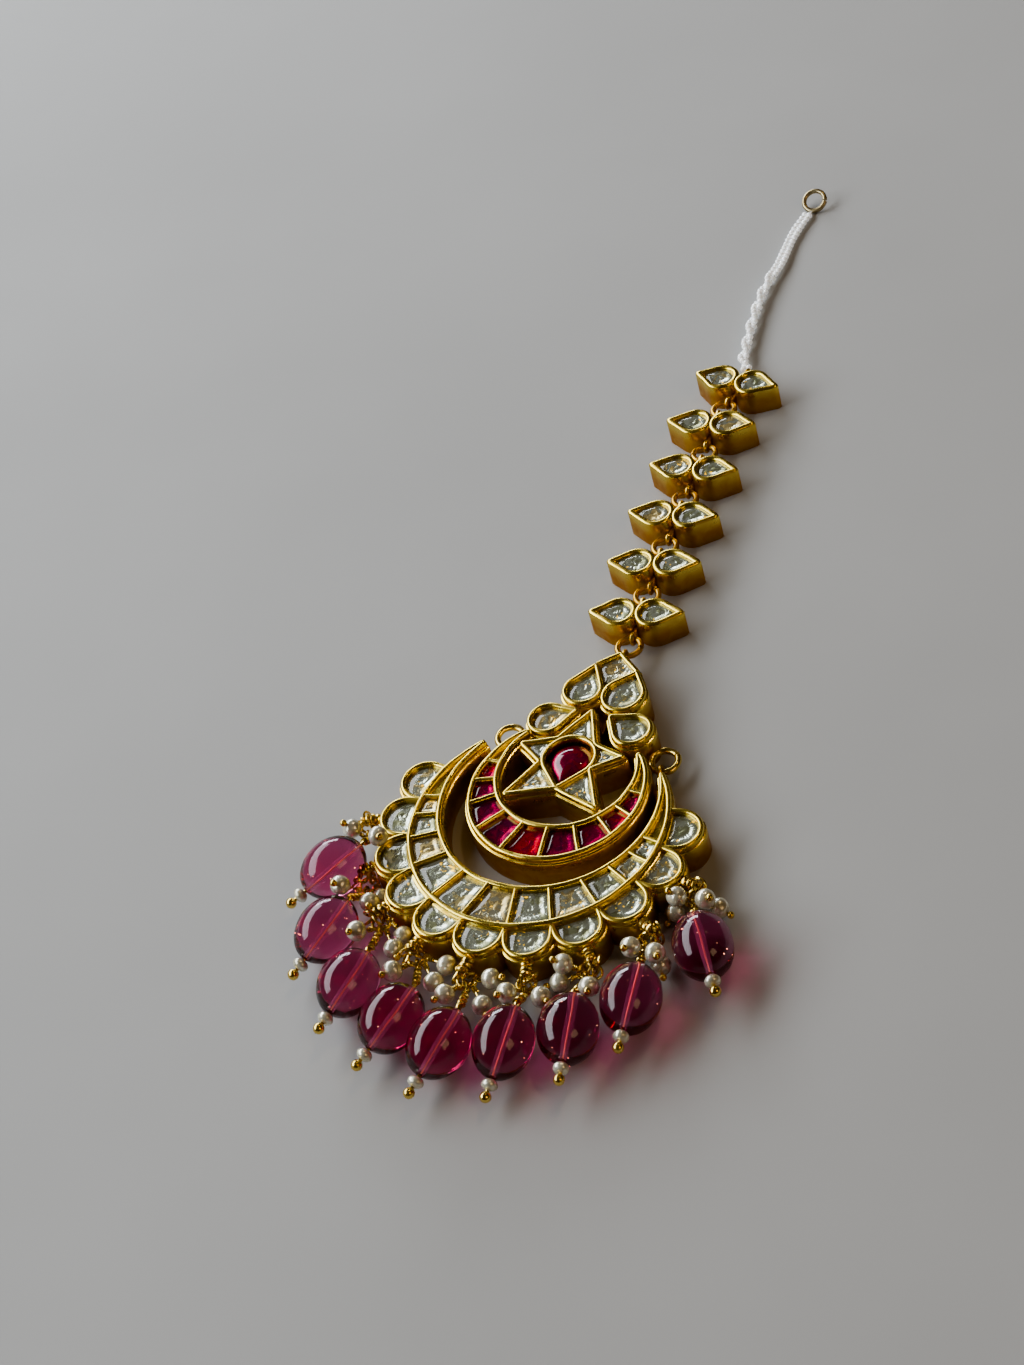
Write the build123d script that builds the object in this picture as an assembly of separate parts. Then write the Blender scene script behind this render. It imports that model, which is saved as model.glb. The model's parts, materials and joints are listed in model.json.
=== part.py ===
from build123d import *
import os
from math import acos, atan2, cos, degrees, hypot, pi, radians, sin, sqrt, tan

# Maang tikka: a crescent-and-star pendant with nine bead drops, a chain of six leaf-shaped
# settings, two strands of small pearls and an end ring. Millimetres, +Z up, +Y from the
# drops towards the end ring. The jewel lies face up on its flat back, on z = 0.
# Places are given from the centre of the outer crescent. Turns are in degrees
# anticlockwise from straight down (-Y).

# --- rims, walls and stones ---
RIM_WIDTH = 0.85
RIM_RISE = 1.0            # height of a rim above the shoulder of its base
BASE_MARGIN = 0.7         # base wall outside a rim's centre line
DIVIDER_WIDTH = 0.75
PENDANT_TOP = 5.6
PETAL_TOP = 5.2
POCKET_DEPTH = 2.2
CHANNEL_DEPTH = 0.9
STONE_GAP = 0.08
STONE_INSET = 0.7         # depth of a stone's top below its rim
CUT_ABOVE = 1.0           # how far a pocket's cut runs on above its rim
HALF_RIM = RIM_WIDTH / 2

# --- outer crescent and its petals ---
OUTER_RADIUS = 18.55
OUTER_HOLE_RADIUS = 16.1
OUTER_HOLE_RISE = 4.0
OUTER_HORN_Y = 12.0
OUTER_TURN = -1.5
# turn of each divider's end on the outer rim and on the inner rim, the same on both sides
OUTER_DIVIDERS = [(11, 7.5), (30, 24), (50.5, 40), (66.5, 55), (80, 67.5), (91, 78.5)]
PETAL_COUNT = 11
PETAL_PITCH = 19.9
PETAL_HALF_WIDTH = 3.3
PETAL_CENTRE_RADIUS = 20.15

# --- inner crescent ---
INNER_CENTRE = (0.4, 6.1)
INNER_RADIUS = 12.78
INNER_HOLE_RADIUS = 10.35
INNER_HOLE_RISE = 3.35
INNER_HORN_Y = 8.9
INNER_TURN = -3.3
INNER_DIVIDERS = [(14, 10.5), (39.5, 31.5), (63, 51), (82, 67.5), (100.5, 85)]
RED_STONE_MARGIN = 0.3    # bare metal round each red stone
RED_DEPTH = 2.7
RED_INSET = 1.2

# --- star and its centre collet ---
STAR_POINTS = [
    (0.0, 21.2), (2.8, 15.1), (7.9, 13.7), (3.8, 10.4), (7.5, 3.7),
    (0.2, 6.1), (-6.8, 3.5), (-3.9, 10.3), (-8.1, 13.2), (-3.0, 15.1),
]
COLLET_CENTRE = (0.0, 12.0)
COLLET_RADIUS = 3.85
COLLET_LENGTH = 5.9       # centre of the round end to the point
COLLET_TURN = 2.0
CENTRE_STONE_SCALE = 0.78
CENTRE_STONE_INSET = 1.3

# --- pears beside and above the star: round end (x, y), radius, length, turn of the point ---
FLANK_PEARS = [(-6.2, 18.5, 2.65, 4.5, 122), (7.1, 18.8, 2.75, 4.5, -113)]
TOP_PEARS = [(-3.1, 24.9, 2.75, 5.1, 178), (3.3, 25.0, 3.0, 4.7, 175)]
KITE_TIP = (0.0, 32.8)
KITE_LEFT = (-2.9, 30.1)
KITE_FOOT = (-0.1, 26.8)
KITE_RIGHT = (3.7, 29.8)

# --- joints that hold the pendant's parts together, below the rims ---
SOLDER_HEIGHT = 2.2
SOLDER_RADIUS = 1.0
SOLDER_PLACES = [(-13.1, 11.2), (13.2, 11.0), (2.4, 21.9), (6.4, 15.1)]
NECK_ENDS = ((0, 19.5), (0, 24.5))
NECK_WIDTH = 3.2

# --- rings and eyes: mean radius, half the wire ---
EYE_RING = (0.75, 0.28)
LINK_HEIGHT = 2.35
POST_RADIUS = 0.35
SIDE_RING = (1.95, 0.4)
# foot of the post, then the eye's centre
SIDE_EYES = [((-12.9, 11.8), (-12.1, 14.3)), ((13.3, 11.6), (12.75, 14.35))]
TOP_EYE = ((-0.2, 32.6), (-0.9, 35.1))
SIDE_RING_TURNS = [174, -176]

# --- chain of leaf settings ---
CHAIN_RING = (1.8, 0.4)
LEAF_TOP = 4.7
LEAF_ROUND_RADIUS = 2.55
LEAF_ROUND_PLACE = 2.75   # from the middle of the leaf to the centre of its round end
LEAF_POINT_LENGTH = 4.5
LEAF_EYE_PLACE = 3.65
LEAF_EYE = (0.8, 0.3)
LEAF_POST_FOOT = 0.9
RING_LEANS = [0.6, 1.4, -1.0, 1.6, 7.0, -8.0]
LEAF_TURNS = [8.8, 8.6, 4.8, 3.0, 4.2, -6.3]

# --- strands of pearls and end ring ---
STRAND_RADIUS = 0.52
STRAND_OFFSET = 0.53       # each strand's centre line from the line they twist about
STRAND_TURNS = 3           # turns of the two strands about each other, all of them in
STRAND_TWISTED_SHARE = 0.6 # this share of their length, which starts at the leaf
STRAND_STEP = 1.5
STRAND_BEND_SHARE = 0.45   # share of a straight run that each bend beside it takes up
STRAND_ROUTE = [
    (-4.7, 101.9, 1.9), (-6.6, 104.6, 1.4), (-7.4, 108.6, 1.1), (-8.2, 113.0, 1.1),
    (-8.9, 117.6, 1.1), (-9.4, 122.2, 1.1), (-9.5, 126.6, 1.1), (-9.1, 130.8, 0.9),
    (-9.3, 135.0, 0.6), (-9.6, 139.2, 0.55), (-9.3, 143.2, 0.55), (-8.8, 146.7, 0.6),
]
END_RING = (1.9, 0.42)
END_RING_CENTRE = (-8.45, 149.4)
END_RING_TILT = 30

# --- drops ---
DROP_COUNT = 9
DROP_EYE_RADIUS = 25.1
DROP_POST_LENGTH = 1.6    # from inside the petal's wall to the eye's centre
DROP_RING = (1.3, 0.25)
PIN_LOOP = (0.75, 0.25)
PIN_NECK_RADIUS = 0.42
PIN_SHAFT_RADIUS = 0.3
PIN_BALL_RADIUS = 0.8
PIN_HEAD_GAP = 0.5        # from a bead's end to the bend above it
BEAD_HALF_LENGTH = 5.15
BEAD_RADIUS = 4.12
BEAD_HOLE_RADIUS = 0.5
TIP_PEARL_HALF_LENGTH = 0.85
TIP_PEARL_RADIUS = 1.15
STRUNG_GAP = 0.06
# height of the ring, its turn on its eye, then the bead's centre (x, y), turn and downward slope
DROPS = [
    (2.6, -40, -26.7, -13.6, -35, 12),
    (1.25, 5, -22.7, -24.0, -16, 10),
    (2.6, 12, -15.5, -31.6, -7, 3),
    (2.6, 26, -7.0, -35.6, -16, 9),
    (2.6, 21, 1.15, -37.7, -10, 9),
    (2.6, 12, 9.65, -35.5, 2, 12),
    (2.6, 5, 17.3, -31.5, 13, 1),
    (2.6, 13, 23.6, -25.0, 9, 0),
    (2.6, 27, 30.0, -14.8, 32, 0),
]

# --- pearls in the clusters, each on a wire looped round its drop's ring ---
PEARL_RADIUS = 1.45
PEARL_HALF_LENGTH = 1.36
PEARL_HOLE_RADIUS = 0.38   # in the clusters' pearls and in the pearl at each drop's tip
PEARL_LOOP = (0.5, 0.18)
PEARL_WIRE_RADIUS = 0.14
PEARL_KNOT_RADIUS = 0.26
PEARL_BALL_RADIUS = 0.5
PEARL_BALL_PLACE = 1.85    # from the pearl's centre
# drop, turn of the loop, turn of the pearl, reach from the ring's centre, height;
# both turns are from the direction of the drop's bead
CLUSTER_PEARLS = [
    (1, -50, -63, 2.2, 4.6), (1, 40, 24, 6.0, 6.8),
    (2, -40, -22, 4.4, 6.2), (2, 38, 26, 5.5, 3.9), (2, 78, 50, 3.6, 1.5),
    (3, -38, -26, 4.4, 6.0), (3, 38, 30, 5.7, 3.1), (3, 100, 63, 3.7, 1.8),
    (4, -54, -54, 4.1, 4.0), (4, 38, 22, 5.1, 2.6), (4, 76, 59, 4.6, 2.6),
    (5, -44, -44, 3.9, 3.6), (5, 38, 26, 5.1, 2.6), (5, 76, 73, 3.8, 3.6),
    (6, -40, -39, 3.2, 4.1), (6, 42, 42, 3.9, 3.6),
    (7, -78, -66, 3.0, 5.0), (7, -40, -57, 4.2, 2.2), (7, 38, 24, 4.5, 4.8),
    (8, -40, -29, 3.1, 4.6), (8, 38, 28, 4.6, 5.1), (8, 76, 31, 4.5, 2.1),
    (9, -42, -61, 2.2, 4.6), (9, 38, 36, 3.1, 4.7), (9, 78, 55, 4.1, 2.1),
    (9, -80, -66, 2.9, 1.6),
]


def polar(radius, turn):
    """The point at a turn from straight down, about the origin."""
    return radius * sin(radians(turn)), -radius * cos(radians(turn))


def step(place, radius, turn):
    """The point that far from a place, in that turn's direction."""
    x, y = polar(radius, turn)
    return place[0] + x, place[1] + y


def turn_between(start, end):
    """The turn of the direction from one point to another."""
    return degrees(atan2(end[0] - start[0], start[1] - end[1]))


def prism(face, bottom, top):
    """A plan shape made solid between two heights."""
    return Pos(0, 0, bottom) * extrude(face, amount=top - bottom, dir=(0, 0, 1))


def polygon(points):
    return make_face(Polyline(*points, close=True).edges())


def bar(start, end, width):
    """A straight bar's plan, with its ends on two points."""
    length = hypot(end[0] - start[0], end[1] - start[1])
    middle = ((start[0] + end[0]) / 2, (start[1] + end[1]) / 2)
    return Pos(*middle) * Rot(0, 0, turn_between(start, end)) * Rectangle(width, length)


def rod(start, end, radius):
    """A round rod between two points in space."""
    path = Vector(*end) - Vector(*start)
    return Plane(origin=start, z_dir=path) * Cylinder(
        radius, path.length, align=(Align.CENTER, Align.CENTER, Align.MIN)
    )


def standing_loop(place, turn, size):
    """A wire loop on edge: its plane holds the turn's direction and Z."""
    return Pos(*place) * Rot(0, 0, turn) * Rot(0, 90, 0) * Torus(*size)


def balled_wire(start, end, wire, start_radius, end_radius):
    """A straight wire with a ball at each end, turned about its own line."""
    path = end - start
    start_neck = sqrt(start_radius**2 - wire**2)
    end_neck = path.length - sqrt(end_radius**2 - wire**2)
    outline = [
        ThreePointArc((0, -start_radius), (start_radius, 0), (wire, start_neck)),
        Line((wire, start_neck), (wire, end_neck)),
        ThreePointArc((wire, end_neck), (end_radius, path.length), (0, path.length + end_radius)),
        Line((0, path.length + end_radius), (0, -start_radius)),
    ]
    profile = make_face([curve.edge() for curve in outline])
    return Plane(origin=start, z_dir=path) * revolve(Plane.XZ * profile, axis=Axis.Z)


def flat_loop(place, size):
    return Pos(*place) * Torus(*size)


def strung_bead(half_length, radius, hole_radius):
    """An oval glass bead along Z with a round hole through it."""
    edge_angle = degrees(acos(hole_radius / radius))
    hole_end = half_length * sin(radians(edge_angle))
    outline = EllipticalCenterArc(
        (0, 0), radius, half_length, start_angle=-edge_angle, arc_size=2 * edge_angle
    )
    wall = Line((hole_radius, hole_end), (hole_radius, -hole_end))
    return revolve(Plane.XZ * make_face([outline.edge(), wall.edge()]), axis=Axis.Z)


def strung_pearl(half_length, radius):
    """A round pearl along Z, flat at its two ends, with a hole through it."""
    edge = sqrt(radius**2 - half_length**2)
    outline = [
        ThreePointArc((edge, -half_length), (radius, 0), (edge, half_length)),
        Line((edge, half_length), (PEARL_HOLE_RADIUS, half_length)),
        Line((PEARL_HOLE_RADIUS, half_length), (PEARL_HOLE_RADIUS, -half_length)),
        Line((PEARL_HOLE_RADIUS, -half_length), (edge, -half_length)),
    ]
    profile = make_face([curve.edge() for curve in outline])
    return revolve(Plane.XZ * profile, axis=Axis.Z)


# --- plan shapes, each grown outward by an amount from its rim's centre line ---


def crescent(radius, hole_radius, hole_rise, horn_y, grow):
    face = Circle(radius + grow) - Pos(0, hole_rise) * Circle(hole_radius - grow)
    above = Pos(0, horn_y + grow + radius) * Rectangle(4 * radius, 2 * radius)
    return face - above


def outer_crescent(grow):
    face = crescent(OUTER_RADIUS, OUTER_HOLE_RADIUS, OUTER_HOLE_RISE, OUTER_HORN_Y, grow)
    return Rot(0, 0, OUTER_TURN) * face


def inner_crescent(grow):
    face = crescent(INNER_RADIUS, INNER_HOLE_RADIUS, INNER_HOLE_RISE, INNER_HORN_Y, grow)
    return Pos(*INNER_CENTRE) * Rot(0, 0, INNER_TURN) * face


def petal(number, grow):
    half_width = PETAL_HALF_WIDTH + grow
    tongue = Pos(0, -PETAL_CENTRE_RADIUS) * Circle(half_width)
    root = Pos(0, -PETAL_CENTRE_RADIUS / 2) * Rectangle(2 * half_width, PETAL_CENTRE_RADIUS)
    return Rot(0, 0, petal_turn(number)) * (tongue + root) - Circle(OUTER_RADIUS)


def petal_turn(number):
    return OUTER_TURN + PETAL_PITCH * (number - (PETAL_COUNT - 1) / 2)


def pear(radius, length, grow):
    """A round end about the origin, with straight sides to a point straight down."""
    grown = radius + grow
    side = grown * sqrt(1 - (radius / length) ** 2)
    low = -grown * radius / length
    point = (0, -length * grown / radius)
    round_end = ThreePointArc((side, low), (0, grown), (-side, low))
    sides = [Line((-side, low), point), Line(point, (side, low))]
    return make_face([round_end.edge(), sides[0].edge(), sides[1].edge()])


def placed_pear(x, y, radius, length, turn, grow):
    return Pos(x, y) * Rot(0, 0, turn) * pear(radius, length, grow)


def star(grow):
    corners = Kind.ARC if grow > 0 else Kind.INTERSECTION
    return offset(polygon(STAR_POINTS), amount=grow, kind=corners)


def collet(grow):
    return placed_pear(*COLLET_CENTRE, COLLET_RADIUS, COLLET_LENGTH, COLLET_TURN, grow)


def kite(grow):
    corners = Kind.ARC if grow > 0 else Kind.INTERSECTION
    return offset(polygon([KITE_TIP, KITE_LEFT, KITE_FOOT, KITE_RIGHT]), grow, kind=corners)


def leaf_pears(grow):
    right = placed_pear(LEAF_ROUND_PLACE, 0, LEAF_ROUND_RADIUS, LEAF_POINT_LENGTH, 90, grow)
    return [right, mirror(right, about=Plane.YZ)]


def dividers(radius, hole_radius, hole_rise, turns):
    """The bars across a crescent, in its own frame."""
    bars = []
    for outer_turn, inner_turn in turns:
        for side in (-1, 1):
            start = polar(radius, side * outer_turn)
            end = step((0, hole_rise), hole_radius, side * inner_turn)
            bars.append(bar(start, end, DIVIDER_WIDTH))
    return bars


def by_turn(faces, centre=(0, 0)):
    """Faces in order of their turn about a centre."""
    return sorted(faces, key=lambda face: turn_between(centre, tuple(face.center())[:2]))


# --- cells: the pockets that hold the stones ---


def outer_cells():
    """Cells of the outer crescent in order, with a plain channel at each end."""
    bars = dividers(OUTER_RADIUS, OUTER_HOLE_RADIUS, OUTER_HOLE_RISE, OUTER_DIVIDERS)
    plan = outer_crescent(-HALF_RIM)
    for piece in bars:
        plan -= Rot(0, 0, OUTER_TURN) * piece
    return by_turn(plan.faces())


def inner_cells():
    bars = dividers(INNER_RADIUS, INNER_HOLE_RADIUS, INNER_HOLE_RISE, INNER_DIVIDERS)
    plan = inner_crescent(-HALF_RIM)
    for piece in bars:
        plan -= Pos(*INNER_CENTRE) * Rot(0, 0, INNER_TURN) * piece
    return by_turn(plan.faces(), INNER_CENTRE)


def petal_cells():
    ring = Circle(OUTER_RADIUS + HALF_RIM)
    return [petal(number, -HALF_RIM) - ring for number in range(PETAL_COUNT)]


def star_cells():
    return (star(-HALF_RIM) - collet(HALF_RIM)).faces()


def flank_cells():
    return [placed_pear(*size, -HALF_RIM) for size in FLANK_PEARS]


def top_cells():
    pears = [placed_pear(*size, -HALF_RIM) for size in TOP_PEARS]
    gap = kite(-HALF_RIM)
    for size in TOP_PEARS:
        gap -= placed_pear(*size, HALF_RIM)
    return pears + [max(gap.faces(), key=lambda face: face.area)]


def stones(cells, top, inset=STONE_INSET, depth=POCKET_DEPTH, gap=STONE_GAP):
    """A flat stone in each cell, a little clear of its walls and its floor."""
    solids = []
    for cell in cells:
        face = offset(cell, amount=-gap, kind=Kind.INTERSECTION)
        solids += prism(face, top - depth + STONE_GAP, top - inset).solids()
    return solids


def between_horns(cells):
    """A crescent's cells without the plain channel at each end."""
    return cells[1:-1]


def centre_stone():
    size = (COLLET_RADIUS - HALF_RIM) * CENTRE_STONE_SCALE
    length = COLLET_LENGTH * size / COLLET_RADIUS
    face = placed_pear(*COLLET_CENTRE, size, length, COLLET_TURN, 0)
    return [prism(face, PENDANT_TOP - RED_DEPTH + STONE_GAP, PENDANT_TOP - CENTRE_STONE_INSET)]


def pendant_frame():
    shoulder = PENDANT_TOP - RIM_RISE
    plans = [outer_crescent, inner_crescent, star, collet, kite]
    rims = [plan(HALF_RIM) for plan in plans]
    rims += [placed_pear(*size, HALF_RIM) for size in FLANK_PEARS + TOP_PEARS]
    bases = [plan(BASE_MARGIN) for plan in plans]
    bases += [placed_pear(*size, BASE_MARGIN) for size in FLANK_PEARS + TOP_PEARS]
    frame = Part()
    for number in range(PETAL_COUNT):
        frame += prism(petal(number, HALF_RIM), 0, PETAL_TOP)
        frame += prism(petal(number, BASE_MARGIN), 0, PETAL_TOP - RIM_RISE)
    for face in rims:
        frame += prism(face, 0, PENDANT_TOP)
    for face in bases:
        frame += prism(face, 0, shoulder)
    for place in SOLDER_PLACES:
        frame += prism(Pos(*place) * Circle(SOLDER_RADIUS), 0, SOLDER_HEIGHT)
    frame += prism(bar(*NECK_ENDS, NECK_WIDTH), 0, SOLDER_HEIGHT)
    for eye in pendant_eyes():
        frame += eye
    for cell, top, depth in pockets():
        frame -= prism(cell, top - depth, top + CUT_ABOVE)
    return frame


def pockets():
    """Each cell with its rim's height and its depth."""
    outer = outer_cells()
    inner = inner_cells()
    channels = [outer[0], outer[-1], inner[0], inner[-1]]
    clear = between_horns(outer) + list(star_cells()) + flank_cells() + top_cells()
    deep = between_horns(inner) + [collet(-HALF_RIM)]
    cells = [(cell, PENDANT_TOP, CHANNEL_DEPTH) for cell in channels]
    cells += [(cell, PENDANT_TOP, POCKET_DEPTH) for cell in clear]
    cells += [(cell, PENDANT_TOP, RED_DEPTH) for cell in deep]
    cells += [(cell, PETAL_TOP, POCKET_DEPTH) for cell in petal_cells()]
    return cells


def pendant_eyes():
    """The eyes round the pendant, each with the post that carries it."""
    solids = []
    eyes = [(foot, eye, turn_between(foot, eye), LINK_HEIGHT) for foot, eye in SIDE_EYES]
    eyes.append((*TOP_EYE, 180 + RING_LEANS[0], LINK_HEIGHT))
    for number in range(DROP_COUNT):
        foot = polar(DROP_EYE_RADIUS - DROP_POST_LENGTH, drop_turn(number))
        height, turn = DROPS[number][:2]
        eyes.append((foot, drop_eye(number), turn, height))
    for foot, eye, turn, height in eyes:
        rim = step(eye, -EYE_RING[0], turn)
        solids.append(rod((*foot, height), (*rim, height), POST_RADIUS))
        solids.append(standing_loop((*eye, height), turn, EYE_RING))
    return solids


def drop_turn(number):
    """The turn of the petal that carries a drop."""
    return petal_turn(number + 1)


def drop_eye(number):
    return polar(DROP_EYE_RADIUS, drop_turn(number))


def drop_ring_centre(number):
    x, y = step(drop_eye(number), DROP_RING[0], DROPS[number][1])
    return x, y, DROPS[number][0]


def bead_frame(number):
    """The bead's centre and the unit vector along its axis, towards its tip."""
    x, y, turn, slope = DROPS[number][2:]
    level = cos(radians(slope))
    height = hypot(BEAD_HALF_LENGTH * sin(radians(slope)), BEAD_RADIUS * level)
    axis = Vector(*polar(level, turn), -sin(radians(slope)))
    return Vector(x, y, height), axis


def bead_head(number):
    """The bend of the pin, just above the bead."""
    centre, axis = bead_frame(number)
    return centre - axis * (BEAD_HALF_LENGTH + PIN_HEAD_GAP)


def drop_bead(number):
    centre, axis = bead_frame(number)
    bead = strung_bead(BEAD_HALF_LENGTH, BEAD_RADIUS, BEAD_HOLE_RADIUS)
    return [Plane(origin=centre, z_dir=axis) * bead]


def tip_pearl(number):
    centre, axis = bead_frame(number)
    place = centre + axis * (BEAD_HALF_LENGTH + STRUNG_GAP + TIP_PEARL_HALF_LENGTH)
    pearl = strung_pearl(TIP_PEARL_HALF_LENGTH, TIP_PEARL_RADIUS)
    return Plane(origin=place, z_dir=axis) * pearl


def drop_pin(number):
    """The gold pin of a drop: its loop, its neck, its shaft through the bead, and its ball."""
    centre, axis = bead_frame(number)
    head = bead_head(number)
    ring = drop_ring_centre(number)
    turn = turn_between(ring, (head.X, head.Y))
    loop = (*step(ring, DROP_RING[0], turn), ring[2])
    start = (*step(loop, PIN_LOOP[0], turn), ring[2])
    below_pearl = BEAD_HALF_LENGTH + 2 * (STRUNG_GAP + TIP_PEARL_HALF_LENGTH)
    tip = centre + axis * (below_pearl + PIN_BALL_RADIUS)
    pin = standing_loop(loop, turn, PIN_LOOP)
    pin += rod(start, head, PIN_NECK_RADIUS)
    pin += balled_wire(head, tip, PIN_SHAFT_RADIUS, PIN_NECK_RADIUS, PIN_BALL_RADIUS)
    return [pin]


def cluster_pearl(number, loop_turn, turn, reach, height):
    """A pearl and the wire that hangs it on its drop's ring."""
    ring = drop_ring_centre(number)
    head = bead_head(number)
    ahead = turn_between(ring, (head.X, head.Y))
    loop = step(ring, DROP_RING[0], ahead + loop_turn)
    place = Vector(*step(ring, reach, ahead + turn), height)
    middle = Vector(*loop, ring[2])
    aim = (place - middle).normalized()
    start = middle + loop_edge(aim, ahead + loop_turn)
    end = place + aim * PEARL_BALL_PLACE
    pearl = strung_pearl(PEARL_HALF_LENGTH, PEARL_RADIUS)
    wire = standing_loop(tuple(middle), ahead + loop_turn, PEARL_LOOP)
    wire += balled_wire(start, end, PEARL_WIRE_RADIUS, PEARL_KNOT_RADIUS, PEARL_BALL_RADIUS)
    return [Plane(origin=place, z_dir=aim) * pearl, wire]


def loop_edge(aim, turn):
    """From a standing loop's centre to the place on it nearest a direction."""
    outward = Vector(*polar(1, turn), 0)
    flat = outward * aim.dot(outward) + Vector(0, 0, aim.Z)
    return flat.normalized() * PEARL_LOOP[0]


def drop_pearls(number):
    solids = [tip_pearl(number)]
    for drop, *places in CLUSTER_PEARLS:
        if drop == number + 1:
            solids += cluster_pearl(number, *places)
    return solids


def leaf_setting():
    """One leaf of the chain: two pears round end to round end, with an eye above and below."""
    setting = Part()
    for face in leaf_pears(HALF_RIM):
        setting += prism(face, 0, LEAF_TOP)
    for cell in leaf_pears(-HALF_RIM):
        setting -= prism(cell, LEAF_TOP - POCKET_DEPTH, LEAF_TOP + CUT_ABOVE)
    for side in (-1, 1):
        foot = (0, side * LEAF_POST_FOOT, LINK_HEIGHT)
        rim = (0, side * (LEAF_EYE_PLACE - LEAF_EYE[0]), LINK_HEIGHT)
        setting += rod(foot, rim, POST_RADIUS)
        setting += standing_loop((0, side * LEAF_EYE_PLACE, LINK_HEIGHT), 0, LEAF_EYE)
    return setting


def chain_places():
    """The centre of each chain ring, and each leaf's middle with its turn."""
    eye = TOP_EYE[1]
    rings = []
    leaves = []
    for lean, turn in zip(RING_LEANS, LEAF_TURNS):
        rings.append(step(eye, CHAIN_RING[0], 180 + lean))
        lower_eye = step(eye, 2 * CHAIN_RING[0], 180 + lean)
        middle = step(lower_eye, LEAF_EYE_PLACE, 180 + turn)
        leaves.append((middle, turn))
        eye = step(middle, LEAF_EYE_PLACE, 180 + turn)
    return rings, leaves


def strand_route():
    """The line about which the two strands of pearls twist."""
    points = [Vector(*point) for point in STRAND_ROUTE]
    radii = []
    for before, corner, after in zip(points, points[1:], points[2:]):
        turn = (corner - before).get_angle(after - corner)
        run = min((corner - before).length, (after - corner).length)
        radii.append(STRAND_BEND_SHARE * run / tan(radians(turn / 2)))
    return FilletPolyline(*points, radius=radii)


def strand(start_turn):
    """One strand of pearls as a tube of their size, along its route."""
    route = strand_route()
    count = round(route.length / STRAND_STEP)
    points = []
    for index in range(count + 1):
        distance = route.length * index / count
        point = route.position_at(distance, position_mode=PositionMode.LENGTH)
        along = route.tangent_at(distance, position_mode=PositionMode.LENGTH)
        across = Vector(along.Y, -along.X, 0).normalized()
        turn = 360 * STRAND_TURNS * min(1, index / count / STRAND_TWISTED_SHARE) + start_turn
        side = STRAND_OFFSET * cos(radians(turn))
        lift = STRAND_OFFSET * sin(radians(turn))
        points.append(point + across * side + Vector(0, 0, lift))
    path = Spline(*points)
    tube = sweep(Plane(path @ 0, z_dir=path % 0) * Circle(STRAND_RADIUS), path=path)
    expected = pi * STRAND_RADIUS**2 * path.length
    print("strand volume over section times length", round(tube.volume / expected, 4))
    return tube


def end_ring():
    size, wire = END_RING
    height = size * sin(radians(END_RING_TILT)) + wire
    return Pos(*END_RING_CENTRE, height) * Rot(END_RING_TILT, 0, 0) * Torus(size, wire)


def build_parts():
    rings, leaves = chain_places()
    parts = {
        "pendant_frame": [pendant_frame()],
        "crescent_stones": stones(between_horns(outer_cells()), PENDANT_TOP),
        "petal_stones": stones(petal_cells(), PETAL_TOP),
        "inner_crescent_stones": stones(
            between_horns(inner_cells()), PENDANT_TOP, RED_INSET, RED_DEPTH, RED_STONE_MARGIN
        ),
        "star_stones": stones(star_cells(), PENDANT_TOP),
        "centre_stone": centre_stone(),
        "flank_stones": stones(flank_cells(), PENDANT_TOP),
        "top_stones": stones(top_cells(), PENDANT_TOP),
        "side_rings": [
            flat_loop((*step(eye, SIDE_RING[0], turn), LINK_HEIGHT), SIDE_RING)
            for (foot, eye), turn in zip(SIDE_EYES, SIDE_RING_TURNS)
        ],
        "pearl_strands": [strand(180), strand(0)],
        "end_ring": [end_ring()],
    }
    for number in range(DROP_COUNT):
        name = number + 1
        parts[f"drop_bead_{name}"] = drop_bead(number)
        parts[f"drop_pin_{name}"] = drop_pin(number)
        parts[f"drop_pearls_{name}"] = drop_pearls(number)
        parts[f"drop_ring_{name}"] = [flat_loop(drop_ring_centre(number), DROP_RING)]
    setting = leaf_setting()
    leaf_stones = stones(leaf_pears(-HALF_RIM), LEAF_TOP)
    parts["leaf_stones"] = []
    for index, (middle, turn) in enumerate(leaves):
        place = Pos(*middle) * Rot(0, 0, turn)
        parts[f"leaf_setting_{index + 1}"] = [place * setting]
        parts["leaf_stones"] += [place * stone for stone in leaf_stones]
        parts[f"chain_ring_{index + 1}"] = [flat_loop((*rings[index], LINK_HEIGHT), CHAIN_RING)]
    return parts


def export(parts):
    """Writes every part, with the origin below the middle of the whole jewel."""
    boxes = [solid.bounding_box() for solids in parts.values() for solid in solids]
    middle_x = (min(box.min.X for box in boxes) + max(box.max.X for box in boxes)) / 2
    middle_y = (min(box.min.Y for box in boxes) + max(box.max.Y for box in boxes)) / 2
    lowest = min(box.min.Z for box in boxes)
    centre = [round(-value, 3) for value in (middle_x, middle_y, lowest)]
    print("the outer crescent's centre is at", centre)
    os.makedirs("parts", exist_ok=True)
    for name, solids in parts.items():
        placed = [Pos(-middle_x, -middle_y, -lowest) * solid for solid in solids]
        shape = Compound(children=placed) if len(placed) > 1 else placed[0]
        export_step(shape, f"parts/{name}.step")


export(build_parts())
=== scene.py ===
"""Maang tikka: a crescent-and-star pendant with nine bead drops, a chain of six leaf-shaped
settings, two strings of small pearls and an end ring, lying face up on a plain floor.

Shapes are made in millimetres about the centre of the outer crescent, as the jewel's CAD is, and
each finished piece is put into the frame in metres. Turns are in degrees anticlockwise from -Y.
"""

import json
import math
from collections import namedtuple

import bmesh
import bpy
import numpy as np
from mathutils import Matrix, Vector, noise

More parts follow.
